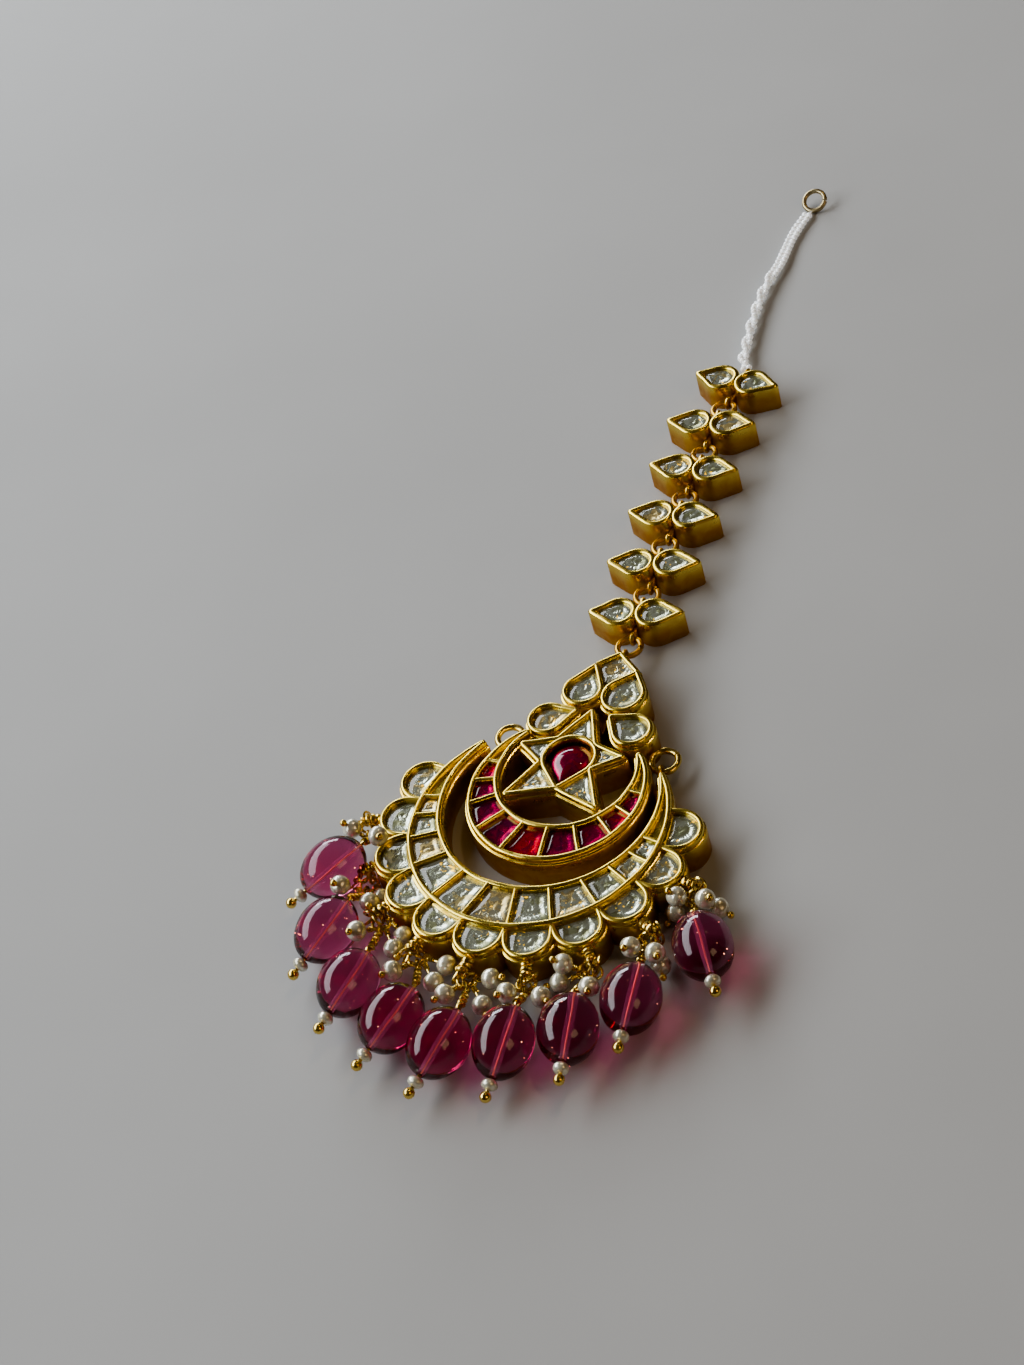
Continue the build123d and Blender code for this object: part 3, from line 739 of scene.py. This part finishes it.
def side_rings(finish):
    piece = bmesh.new()
    for _, eye, ring_turn in SIDE_EYES:
        centre = flat(*eye, LINK_HEIGHT) + polar(SIDE_RING[0], ring_turn)
        add_jump_ring(piece, centre, SIDE_RING, *SIDE_RING_LEAN, sides=14)
    roughen(piece, *RING_WAVES)
    make_piece("side_ring_pair", piece, finish, ["side_rings"])


def add_stone(piece, outline, seat, mark):
    """A low dome on an outline, marked with its lot and how far inward each of its points is."""
    line = softened(even(outline, True, STONE_STEP), True)
    centre = sum(line, Vector()) / len(line)
    section = []
    for point, along in zip(line, tangents(line, True)):
        place = point + flat(along.y, -along.x) * seat.growth - centre
        section.append(flat(place.x, place.y))
    inward = piece.verts.layers.float["inward"]
    lot = piece.verts.layers.float["lot"]
    edge_height = outline[0].z + seat.lift
    heights = [(1.0, edge_height - seat.skirt)]
    for i in range(STONE_RINGS + 1):
        scale = 1 - (1 - STONE_TOP_SCALE) * i / STONE_RINGS
        heights.append((scale, edge_height + seat.rise * (1 - scale**3)))
    stations = [
        Matrix.Translation((centre.x, centre.y, height)) @ Matrix.Diagonal((scale, scale, 1, 1))
        for scale, height in heights
    ]
    rings = sweep(piece, section, stations, False)
    for ring, (scale, height) in zip(rings, heights):
        for vert in ring:
            vert[inward] = 1 - scale
            vert[lot] = mark
    made = bmesh.ops.poke(piece, faces=cap(piece, rings[-1]))
    for vert in made["verts"]:
        vert.co.z = edge_height + seat.rise
        vert[inward] = 1.0
        vert[lot] = mark


def new_stones():
    piece = bmesh.new()
    piece.verts.layers.float.new("inward")
    piece.verts.layers.float.new("lot")
    return piece


def clear_stones(frame, finish):
    """Every clear stone, filling its cell from rim to rim."""
    nodes = [f"{kind}_stones" for kind in ("crescent", "petal", "star", "flank", "top", "leaf")]
    piece = new_stones()
    for node in nodes:
        for outline in stone_outlines(frame, node):
            seat = CLEAR_SEAT
            if node == "leaf_stones":
                outline = softened(even(outline, True, STONE_STEP), True, LEAF_OVAL_ROUNDS)
                seat = LEAF_SEAT
            elif min(point.y for point in outline) > KITE[2][1]:
                seat = KITE_SEAT
            add_stone(piece, outline, seat, noise.random_unit_vector().x)
    for vert in piece.verts:
        vert.co.z = max(0.0, vert.co.z)
    bmesh.ops.recalc_face_normals(piece, faces=piece.faces)
    make_piece("clear_stones_cut", piece, finish, nodes)


def red_stones(frame, finish):
    """The red stones of the inner crescent and the centre pear, set deep in their cells."""
    piece = new_stones()
    for outline in stone_outlines(frame, "inner_crescent_stones"):
        add_stone(piece, outline, RED_SEAT, noise.random_unit_vector().x)
    for outline in stone_outlines(frame, "centre_stone"):
        add_stone(piece, outline, CENTRE_SEAT, CENTRE_LOT)
    bmesh.ops.recalc_face_normals(piece, faces=piece.faces)
    nodes = ["inner_crescent_stones", "centre_stone"]
    make_piece("red_stones_cut", piece, finish, nodes)


def chain_places():
    """The centre of each chain ring, and each leaf's middle with its turn."""
    eye = flat(*TOP_EYE[1])
    rings, leaves = [], []
    for lean, turn in zip(RING_LEANS, LEAF_TURNS):
        rings.append(eye + polar(CHAIN_RING[0], 180 + lean))
        middle = eye + polar(2 * CHAIN_RING[0], 180 + lean) + polar(LEAF_EYE_PLACE, 180 + turn)
        leaves.append((middle, turn))
        eye = middle + polar(LEAF_EYE_PLACE, 180 + turn)
    return rings, leaves


def leaf_chain(finish):
    """The six leaf settings and the rings that link them."""
    piece = bmesh.new()
    rings, leaves = chain_places()
    right = pear_path(*LEAF_PEAR)
    left = [flat(-point.x, point.y) for point in reversed(right)]
    for middle, turn in leaves:
        for path in (right, left):
            line = turned(path, middle, turn)
            add_wall(piece, line, LEAF_TOP, section=leaf_section)
            add_plate(piece, line, LEAF_TOP - LEAF_POCKET)
    roughen(piece, *LEAF_WAVES)
    roughen(piece, *FINE_WAVES)
    for middle, turn in leaves:
        for end in (0, 180):
            foot = middle + polar(LEAF_EYE_FOOT, turn + end)
            eye = middle + polar(LEAF_EYE_PLACE, turn + end)
            add_eye(piece, foot.xy, eye.xy, turn + end, LEAF_EYE)
    for number, ring in enumerate(rings):
        add_jump_ring(piece, ring + UP * LINK_HEIGHT, CHAIN_RING, 2, 50 * number, sides=12)
    nodes = [f"leaf_setting_{i + 1}" for i in range(len(leaves))]
    nodes += [f"chain_ring_{i + 1}" for i in range(len(rings))]
    make_piece("leaf_chain", piece, finish, nodes)


def drop_goldwork(drops, finish):
    """Each drop's coil, eye, ring, pin and ball."""
    piece = bmesh.new()
    for drop in drops:
        outward = flat(drop.eye.x, drop.eye.y).normalized()
        wall = drop.eye - outward * (DROP_EYE_RADIUS - PETAL_WALL_RADIUS + DROP_STEM_SEAT)
        inner_rim = drop.eye - outward * DROP_EYE[0]
        to_ring = (drop.ring - drop.eye).normalized()
        add_rod(piece, wall, inner_rim, DROP_STEM_RADIUS)
        add_loop(piece, drop.eye, DROP_EYE, to_ring)
        add_jump_ring(piece, drop.ring, DROP_RING, 2, 30 * drop.number)
        to_head = flat(drop.head.x - drop.ring.x, drop.head.y - drop.ring.y).normalized()
        loop = drop.ring + to_head * DROP_RING[0]
        add_loop(piece, loop, PIN_LOOP, to_head)
        neck = loop + to_head * PIN_LOOP[0]
        add_rod(piece, neck, drop.head, PIN_RADIUS, step=0.3)
        add_coil(piece, neck, drop.head, PIN_COIL, sides=6)
        below = BEAD_HALF_LENGTH + 2 * (TIP_PEARL_HALF_LENGTH + TIP_PEARL_GAP)
        ball = drop.bead + drop.axis * (below + PIN_BALL_RADIUS)
        mouth = drop.axis * (BEAD_HALF_LENGTH - HOLE_MOUTH)
        add_rod(piece, drop.head, drop.bead - mouth, PIN_RADIUS, step=0.3)
        add_rod(piece, drop.bead + mouth, ball, PIN_RADIUS, step=0.3)
        add_twists(piece, drop, outward)
        add_ball(piece, ball, PIN_BALL_RADIUS)
    nodes = [f"drop_pin_{d.number}" for d in drops] + [f"drop_ring_{d.number}" for d in drops]
    make_piece("drop_goldwork", piece, finish, nodes)


def add_twists(piece, drop, outward):
    """The wound coil by the petal's wall and the loose loops of wire under it."""
    along = outward.cross(UP)
    height = max(drop.ring.z, LOWEST_TANGLE)
    below = flat(drop.eye.x, drop.eye.y, height)
    coil = below + UP * WOUND_COIL_RISE
    start, end = [coil + outward * reach for reach in WOUND_COIL_REACH]
    add_coil(piece, start, end, WOUND_COIL)
    aside, down = LOOSE_FOOT
    top = coil - along * aside
    add_rod(piece, top - UP * down, top, LOOSE_WIRE, sides=LOOSE_SIDES)
    for side, out, rise, size, lean, turn in LOOSE_LOOPS:
        centre = below + UP * rise + along * side + outward * out
        plane = Matrix.Rotation(math.radians(turn + DROP_TO_DROP_TURN * drop.number), 3, "Z")
        across = plane @ flat(1, 0)
        upward = plane @ flat(0, math.cos(math.radians(lean)), math.sin(math.radians(lean)))
        add_loop(piece, centre, (size, LOOSE_WIRE), across, upward, 22, LOOSE_SIDES)


def plum_beads(drops, finish):
    """The nine oval glass beads, each with the mouths of its drilled hole."""
    piece = bmesh.new()
    edge = math.degrees(math.acos(BEAD_HOLE_RADIUS / BEAD_RADIUS))
    for drop in drops:
        shape = bmesh.new()
        outline = [flat(0, 0, -BEAD_HALF_LENGTH + HOLE_MOUTH)]
        for i in range(BEAD_ARC_STEPS + 1):
            angle = math.radians(-edge + 2 * edge * i / BEAD_ARC_STEPS)
            across, along = BEAD_RADIUS * math.cos(angle), BEAD_HALF_LENGTH * math.sin(angle)
            outline.append(flat(across, 0, along))
        outline.append(flat(0, 0, BEAD_HALF_LENGTH - HOLE_MOUTH))
        verts = [shape.verts.new(point) for point in outline]
        edges = [shape.edges.new(pair) for pair in zip(verts, verts[1:])]
        bmesh.ops.spin(
            shape, geom=verts + edges, axis=UP, angle=2 * math.pi, steps=48, use_merge=True
        )
        bmesh.ops.remove_doubles(shape, verts=shape.verts, dist=0.001)
        move(shape, Matrix.Translation(drop.bead) @ facing(drop.axis).to_4x4())
        roughen(shape, *BEAD_WAVES)
        join(piece, shape)
    nodes = [f"drop_bead_{d.number}" for d in drops]
    make_piece("plum_beads", piece, finish, nodes)


def drill_lines(drops, gold, dust_and_glow):
    """The pin's wire down each bead and the dusty wall of the hole round it, both with a painted
    glow.
    """
    wires, walls = bmesh.new(), bmesh.new()
    reach = SHAFT_SHARE * (BEAD_HALF_LENGTH - HOLE_MOUTH)
    for drop in drops:
        ends = [drop.bead - drop.axis * reach, drop.bead + drop.axis * reach]
        add_rod(wires, *ends, SHAFT_RADIUS, step=0.8)
        add_rod(walls, *ends, DUST_RADIUS, step=0.8, sides=12)
    make_piece("shaft_wires", wires, gold)
    make_piece("drill_walls", walls, dust_and_glow)


def painted_bead_glints(drops, finish):
    """Painted glints: tiny flecks in each bead's glass that glow, for small lamps reflected in it.
    """
    piece = bmesh.new()
    flatten = Matrix.Diagonal((1, PAINTED_GLINT_FLATNESS, 1, 1))
    for drop in drops:
        for _ in range(PAINTED_GLINT_COUNT):
            out = noise.random_unit_vector() * BEAD_RADIUS
            out *= PAINTED_GLINT_DEPTHS[0] + PAINTED_GLINT_DEPTHS[1] * noise.random()
            size = PAINTED_GLINT_SIZES[0] + PAINTED_GLINT_SIZES[1] * noise.random() ** 2
            place = Matrix.Translation(drop.bead + out) @ flatten
            bmesh.ops.create_icosphere(piece, subdivisions=1, radius=size, matrix=place)
    make_piece("painted_bead_glints", piece, finish)


def add_pearl(piece, centre, axis, radius, half_length, segments=22):
    """A pearl on its drill line, with a dimple at each hole and a skin a little uneven."""
    shape = bmesh.new()
    bmesh.ops.create_uvsphere(shape, u_segments=segments, v_segments=segments // 2 + 3, radius=1)
    for vert in shape.verts:
        x, y, z = vert.co
        dimple = PEARL_DIMPLE * max(0.0, (abs(z) - DIMPLE_FROM) / (1 - DIMPLE_FROM))
        vert.co = flat(x * radius, y * radius, z * half_length * (1 - dimple))
    move(shape, Matrix.Translation(centre) @ facing(axis).to_4x4())
    for vert in shape.verts:
        vert.co += noise.noise_vector(vert.co / radius) * radius * PEARL_UNEVENNESS
    join(piece, shape)


def cluster_pearls(frame, drops, nacre, gold):
    """The pearls of each drop's cluster, its tip pearl, and the wires that carry them."""
    pearls, wires = bmesh.new(), bmesh.new()
    for drop in drops:
        tip_place = BEAD_HALF_LENGTH + TIP_PEARL_HALF_LENGTH + TIP_PEARL_GAP
        tip = drop.bead + drop.axis * tip_place
        add_pearl(pearls, tip, drop.axis, TIP_PEARL_RADIUS, TIP_PEARL_HALF_LENGTH, 16)
        shape = cad_shape(frame, f"drop_pearls_{drop.number}")
        for verts in islands(shape):
            middle, axis = long_axis([vert.co for vert in verts])
            reaches = [axis.dot(vert.co - middle) for vert in verts]
            if max(reaches) - min(reaches) > LONGEST_PEARL:
                add_pearl_wire(wires, verts, drop)
            elif (middle - tip).length > TIP_PEARL_HALF_LENGTH / 2:
                towards = (middle - drop.ring).normalized()
                add_pearl(pearls, middle, towards, PEARL_RADIUS, PEARL_RADIUS * 0.95)
        shape.free()
    nodes = [f"drop_pearls_{d.number}" for d in drops]
    make_piece("cluster_pearls", pearls, nacre, nodes)
    make_piece("cluster_wires", wires, gold)


def add_pearl_wire(wires, verts, drop):
    """A pearl's wire: its ball, its stem and the loop and coil by which it hangs on the ring."""
    points = [vert.co for vert in verts]
    near = min(points, key=lambda p: (p - drop.ring).length)
    far = max(points, key=lambda p: (p - near).length)
    axis = (far - near).normalized()
    ball = far - axis * PEARL_STEM_BACK
    loop = drop.ring + (near - drop.ring).normalized() * DROP_RING[0]
    add_rod(wires, loop, ball, PEARL_STEM_WIRE, sides=6)
    add_ball(wires, ball, PEARL_STEM_BALL, segments=14)
    start, end = [loop + axis * reach for reach in PEARL_COIL_REACH]
    add_coil(wires, start, end, PEARL_COIL, sides=6)
    add_loop(wires, loop, PEARL_LOOP, axis, axis.cross(UP).normalized(), 18, 6)


def strand_line(start_turn):
    """The centre line of one of two strings of pearls that twist about each other."""
    route = even([flat(*point) for point in STRAND_ROUTE], False, 0.4)
    route = softened(route, False, 12)
    line = []
    for i, (point, along) in enumerate(zip(route, tangents(route, False))):
        across = flat(along.y, -along.x).normalized()
        share = i / (len(route) - 1)
        turns = STRAND_TURNS * min(1, share / STRAND_TWISTED_SHARE)
        turn = math.radians(360 * turns + start_turn)
        line.append(point + (across * math.cos(turn) + UP * math.sin(turn)) * STRAND_OFFSET)
    return line


def pearl_strings(nacre, cotton):
    """Two twisted strings of small pearls, and the thread that ties them at each end."""
    pearls, thread = bmesh.new(), bmesh.new()
    leaf, turn = chain_places()[1][-1]
    top_eye = leaf + polar(LEAF_EYE_PLACE + LEAF_LOOP_REACH, 180 + turn) + UP * LINK_HEIGHT
    ring = flat(*END_RING_CENTRE, END_RING_HEIGHT)
    ring_foot = ring - flat(0, math.cos(END_RING_TILT), math.sin(END_RING_TILT)) * END_RING[0]
    for number in range(2):
        line = strand_line(180 * number)
        run = even(line, False, STRING_PEARL_PITCH)
        for i, (place, along) in enumerate(zip(run, tangents(run, False))):
            size = STRING_PEARL_RADIUS * (0.95 + 0.05 * math.sin(5.3 * i + number))
            add_pearl(pearls, place, along, size, size * 0.9, 12)
        route = even([top_eye, *line[::4], line[-1], ring_foot], False, 0.5)
        add_wire(thread, softened(route, False, 2), THREAD_RADIUS, sides=6)
    make_piece("string_pearls", pearls, nacre, ["pearl_strands"])
    make_piece("string_thread", thread, cotton)


def end_ring(finish):
    piece = bmesh.new()
    centre = flat(*END_RING_CENTRE, END_RING_HEIGHT)
    add_jump_ring(piece, centre, END_RING, math.degrees(END_RING_TILT), sides=14)
    make_piece("end_ring_bent", piece, finish, ["end_ring"])


# --- finishes ---


class Reading:
    """A value read from a node, for use in plain arithmetic."""

    def __init__(self, finish, output):
        self.finish = finish
        self.output = output

    def maths(self, operation, first, second):
        return self.finish.node("ShaderNodeMath", {"operation": operation}, {0: first, 1: second})

    def __add__(self, other):
        return self.maths("ADD", self, other)

    def __rsub__(self, other):
        return self.maths("SUBTRACT", other, self)

    def __mul__(self, other):
        return self.maths("MULTIPLY", self, other)


class Finish:
    """A material, built a node at a time."""

    def __init__(self, name):
        self.material = bpy.data.materials.new(name)
        self.material.use_nodes = True
        self.tree = self.material.node_tree
        self.tree.nodes.clear()
        self.end = self.tree.nodes.new("ShaderNodeOutputMaterial")

    def node(self, kind, settings=None, sockets=None, output=0):
        """A node with its settings, then its sockets' values or links. Gives back one output."""
        made = self.tree.nodes.new(kind)
        for name, value in (settings or {}).items():
            setattr(made, name, value)
        for name, value in (sockets or {}).items():
            if isinstance(value, Reading):
                self.tree.links.new(value.output, made.inputs[name])
            else:
                made.inputs[name].default_value = value
        return Reading(self, made.outputs[output])

    def place(self):
        return self.node("ShaderNodeTexCoord", output="Object")

    def sine(self, value):
        return self.node("ShaderNodeMath", {"operation": "SINE"}, {0: value})

    def noise(self, grain, detail=3.0, distortion=0.0):
        """Noise whose features are about one grain across, in millimetres."""
        sockets = {"Vector": self.place(), "Scale": 1 / (grain * MM)}
        sockets |= {"Detail": detail, "Distortion": distortion}
        return self.node("ShaderNodeTexNoise", None, sockets)

    def height(self):
        """The height above the floor, in millimetres."""
        return self.node("ShaderNodeSeparateXYZ", None, {0: self.place()}, 2) * (1 / MM)

    def mark(self, name):
        return self.node("ShaderNodeAttribute", {"attribute_name": name}, None, "Fac")

    def between(self, value, low, high, start=0.0, end=1.0):
        """A value's place between two limits, eased, as a number from start to end."""
        return self.node("ShaderNodeMapRange", {"interpolation_type": "SMOOTHSTEP"}, {
            "Value": value, "From Min": low, "From Max": high, "To Min": start, "To Max": end,
        })

    def mix(self, factor, first, second):
        sockets = {0: factor, 6: first, 7: second}
        return self.node("ShaderNodeMix", {"data_type": "RGBA"}, sockets, 2)

    def bump(self, height):
        """A normal from a height in millimetres."""
        sockets = {"Strength": 1.0, "Distance": MM, "Height": height}
        return self.node("ShaderNodeBump", None, sockets)

    def surface(self, sockets):
        shader = self.node("ShaderNodeBsdfPrincipled", None, sockets)
        self.tree.links.new(shader.output, self.end.inputs["Surface"])
        return self.material

    def inside(self, kind, sockets):
        volume = self.node(kind, None, sockets)
        self.tree.links.new(volume.output, self.end.inputs["Volume"])


def gold_finish(kind):
    """Hand-burnished gold, with painted shade low on its walls, where it is deeper in colour and
    duller.
    """
    gold = Finish(kind.name)
    fine = gold.noise(0.16, 5.0)
    # painted shade: the colour deepens towards the floor, where the walls are in shade
    low = gold.between(gold.height(), kind.dull_below - 2.4, kind.dull_below + 0.9, 1.0, 0.0)
    worn = gold.between(gold.noise(2.2, 4.0, 0.4), 0.38, 0.66)
    dents = gold.noise(1.1, 2.0) * 0.022 + fine * 0.0015
    return gold.surface({
        "Base Color": gold.mix(worn * 0.2 + low * 0.8, kind.bright, kind.deep),
        "Metallic": 1.0,
        "Roughness": worn * 0.1 + low * 0.12 + fine * 0.06 + kind.polish,
        "Normal": gold.bump(dents),
    })


def foil_stone(foil):
    """Glass over crinkled foil: the foil lies in a cup and the glass is domed over it."""
    stone = Finish(foil.name)
    outward = 1 - stone.mark("inward")
    crinkle = stone.noise(1.7, 2.0, 1.3)
    crumple = stone.noise(0.9, 1.0, 0.8)
    folds = stone.sine(outward * 14.0 + crinkle * 9.0)
    creases = crinkle * 0.06 + crumple * 0.003 + folds * 0.008
    cup = stone.between(outward, 0.45, 0.98) * foil.cup + outward * outward * foil.rise
    patch = stone.between(stone.noise(1.5, 3.0, 1.0), 0.42, 0.6)
    tinted = stone.between(stone.mark("lot") + patch * 0.5, 0.75, 1.2)
    # painted glints: spots of lamp light reflected in the foil, coloured and made to glow
    painted_glint_spot = stone.between(stone.noise(0.48, 0.0), 0.67, 0.76)
    glint = painted_glint_spot * stone.between(stone.noise(2.4, 0.0), 0.57, 0.64)
    colour = stone.mix(patch, foil.light, foil.dark)
    colour = stone.mix(tinted, colour, foil.tint)
    colour = stone.mix(glint, colour, foil.glint)
    # painted shade: the foil darkens to near black at the stone's edge, under its rim
    edge = stone.between(outward, 0.84, 1.0, 0.0, 0.7)
    return stone.surface({
        "Base Color": stone.mix(edge, colour, PAINTED_EDGE_SHADE),
        "Specular Tint": foil.light,
        "Metallic": foil.metal,
        "Emission Color": stone.mix(glint, (0, 0, 0, 1), foil.glint),
        "Emission Strength": foil.glow,
        "Roughness": patch * 0.1 + foil.gloss,
        "Coat Weight": 1.0,
        "Coat Roughness": 0.03,
        "Coat IOR": 1.55,
        "Normal": stone.bump(cup + creases * foil.crease),
    })


def bead_glass():
    """Clear plum glass with faint flow lines."""
    glass = Finish("plum_glass")
    tint = {"Color": (0.80, 0.19, 0.46, 1), "Density": 330.0}
    glass.inside("ShaderNodeVolumeAbsorption", tint)
    ripple = glass.noise(1.6, 3.0, 0.8)
    return glass.surface({
        "Base Color": (0.93, 0.76, 0.88, 1),
        "Roughness": 0.03,
        "IOR": 1.46,
        "Transmission Weight": 1.0,
        "Normal": glass.bump(ripple * 0.006),
    })


def drill_dust_and_glow():
    """The pale skin on the wall of a drilled hole, with a faint painted glow."""
    dust_and_glow = Finish("drill_dust_and_glow")
    streak = dust_and_glow.noise(1.8, 1.0)
    return dust_and_glow.surface({
        "Base Color": dust_and_glow.mix(streak, (0.86, 0.74, 0.82, 1), (0.74, 0.58, 0.68, 1)),
        "Roughness": 0.8,
        # painted light: the hole's wall glows faintly
        "Emission Color": (0.85, 0.50, 0.70, 1),
        "Emission Strength": 0.12,
        "Alpha": dust_and_glow.between(streak, 0.3, 0.7, 0.14, 0.24),
    })


def shaft_finish():
    """The pin's wire as it shows through the glass, with a faint painted glow."""
    wire = Finish("shaft_gold")
    streak = wire.noise(0.6, 2.0)
    return wire.surface({
        "Base Color": wire.mix(streak, (0.90, 0.56, 0.30, 1), (0.70, 0.40, 0.22, 1)),
        "Metallic": 1.0,
        "Roughness": 0.35,
        # painted light: the wire glows faintly inside the bead
        "Emission Color": (1.0, 0.50, 0.24, 1),
        "Emission Strength": 0.2,
    })


def painted_glint_finish():
    """A painted glint: a tiny bit of gold that glows as if it caught the light."""
    glint_glow = Finish("glowing_painted_glint")
    cloud = glint_glow.noise(0.8)
    return glint_glow.surface({
        "Base Color": glint_glow.mix(cloud, (1.0, 0.82, 0.42, 1), (1.0, 0.62, 0.30, 1)),
        "Roughness": 0.3,
        "Emission Color": (1.0, 0.66, 0.30, 1),
        "Emission Strength": 4.0,
    })


def pearl_finish(nacre):
    """Nacre: a soft cream body with a clear skin and small pits, and as much painted glow as it is
    given.
    """
    pearl = Finish(nacre.name)
    cloud = pearl.between(pearl.noise(0.9, 3.0), 0.35, 0.7)
    skin = (pearl.noise(0.35, 3.0) * 0.05 + pearl.noise(1.1, 2.0) * 0.09) * nacre.pits
    return pearl.surface({
        "Base Color": pearl.mix(cloud, nacre.light, nacre.shade),
        "Roughness": cloud * 0.12 + 0.18,
        "Metallic": nacre.metal,
        # painted light: a glow that brightens the pearl all over
        "Emission Color": (0.94, 0.98, 1.0, 1),
        "Emission Strength": nacre.glow,
        "Subsurface Weight": 0.1,
        "Subsurface Radius": (0.8, 0.6, 0.4),
        "Subsurface Scale": 0.0006,
        "Coat Weight": 1.0,
        "Coat Roughness": 0.08,
        "Normal": pearl.bump(skin),
    })


def thread_finish():
    thread = Finish("white_thread")
    fuzz = thread.noise(0.15, 4.0)
    return thread.surface({
        "Base Color": thread.mix(fuzz, (0.82, 0.80, 0.76, 1), (0.66, 0.64, 0.60, 1)),
        "Roughness": 0.75,
        "Normal": thread.bump(fuzz * 0.06),
    })


def floor_finish():
    floor = Finish("pale_floor")
    cloud = floor.noise(60, 3.0)
    return floor.surface({
        "Base Color": floor.mix(cloud, (0.435, 0.435, 0.43, 1), (0.375, 0.374, 0.368, 1)),
        "Roughness": 0.75,
        "Specular IOR Level": 0.25,
    })


# --- floor, light and camera ---


def lay_floor():
    bm = bmesh.new()
    bmesh.ops.create_grid(bm, x_segments=8, y_segments=8, size=FLOOR_HALF_WIDTH)
    mesh = mesh_of("floor", bm)
    mesh.materials.append(floor_finish())
    floor = put("floor", mesh)


def hang_lamp(name, direction, distance, size, power, colour):
    """A soft rectangular lamp that faces the jewel."""
    lamp = bpy.data.lights.new(name, "AREA")
    lamp.shape = "RECTANGLE"
    lamp.size, lamp.size_y = size
    lamp.energy = power
    lamp.color = colour
    body = put(name, lamp)
    towards = Vector(direction).normalized()
    body.location = towards * distance
    body.rotation_euler = towards.to_track_quat("Z", "Y").to_euler()


def light_room():
    bpy.context.scene.view_settings.look = "AgX - Medium High Contrast"
    world = bpy.data.worlds.new("room")
    world.use_nodes = True
    background = world.node_tree.nodes["Background"]
    background.inputs["Color"].default_value = ROOM_COLOUR
    background.inputs["Strength"].default_value = ROOM_STRENGTH
    bpy.context.scene.world = world
    for lamp in LAMPS:
        hang_lamp(*lamp)


def set_camera():
    camera = bpy.data.cameras.new("camera")
    camera.lens = CAMERA_LENS
    camera.clip_start = 0.01
    camera.clip_end = 20
    body = put("camera", camera)
    body.location = CAMERA_PLACE
    body.rotation_euler = [math.radians(angle) for angle in CAMERA_TURN]
    bpy.context.scene.camera = body


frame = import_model()
ring_low, ring_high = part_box("end_ring")
ring_middle = (ring_low + ring_high) / 2
JEWEL_ORIGIN = flat(ring_middle.x, ring_middle.y) - flat(*END_RING_CENTRE) * MM
TO_FRAME = Matrix.Translation(JEWEL_ORIGIN) @ Matrix.Diagonal((MM, MM, MM, 1))
TO_JEWEL = TO_FRAME.inverted()
noise.seed_set(RANDOM_SEED)

gold_work = gold_finish(GOLD_WORK)
gold_wire = gold_finish(GOLD_WIRE)
drops = [drop_facts(number + 1) for number in range(DROP_COUNT)]
pendant_setting(gold_work)
side_rings(gold_wire)
clear_stones(frame, foil_stone(CLEAR_FOIL))
red_stones(frame, foil_stone(RED_FOIL))
leaf_chain(gold_work)
drop_goldwork(drops, gold_wire)
plum_beads(drops, bead_glass())
drill_lines(drops, shaft_finish(), drill_dust_and_glow())
painted_bead_glints(drops, painted_glint_finish())
cluster_pearls(frame, drops, pearl_finish(SEED_PEARL), gold_wire)
pearl_strings(pearl_finish(STRING_PEARL), thread_finish())
end_ring(gold_finish(GOLD_DULL))

lay_floor()
light_room()
set_camera()
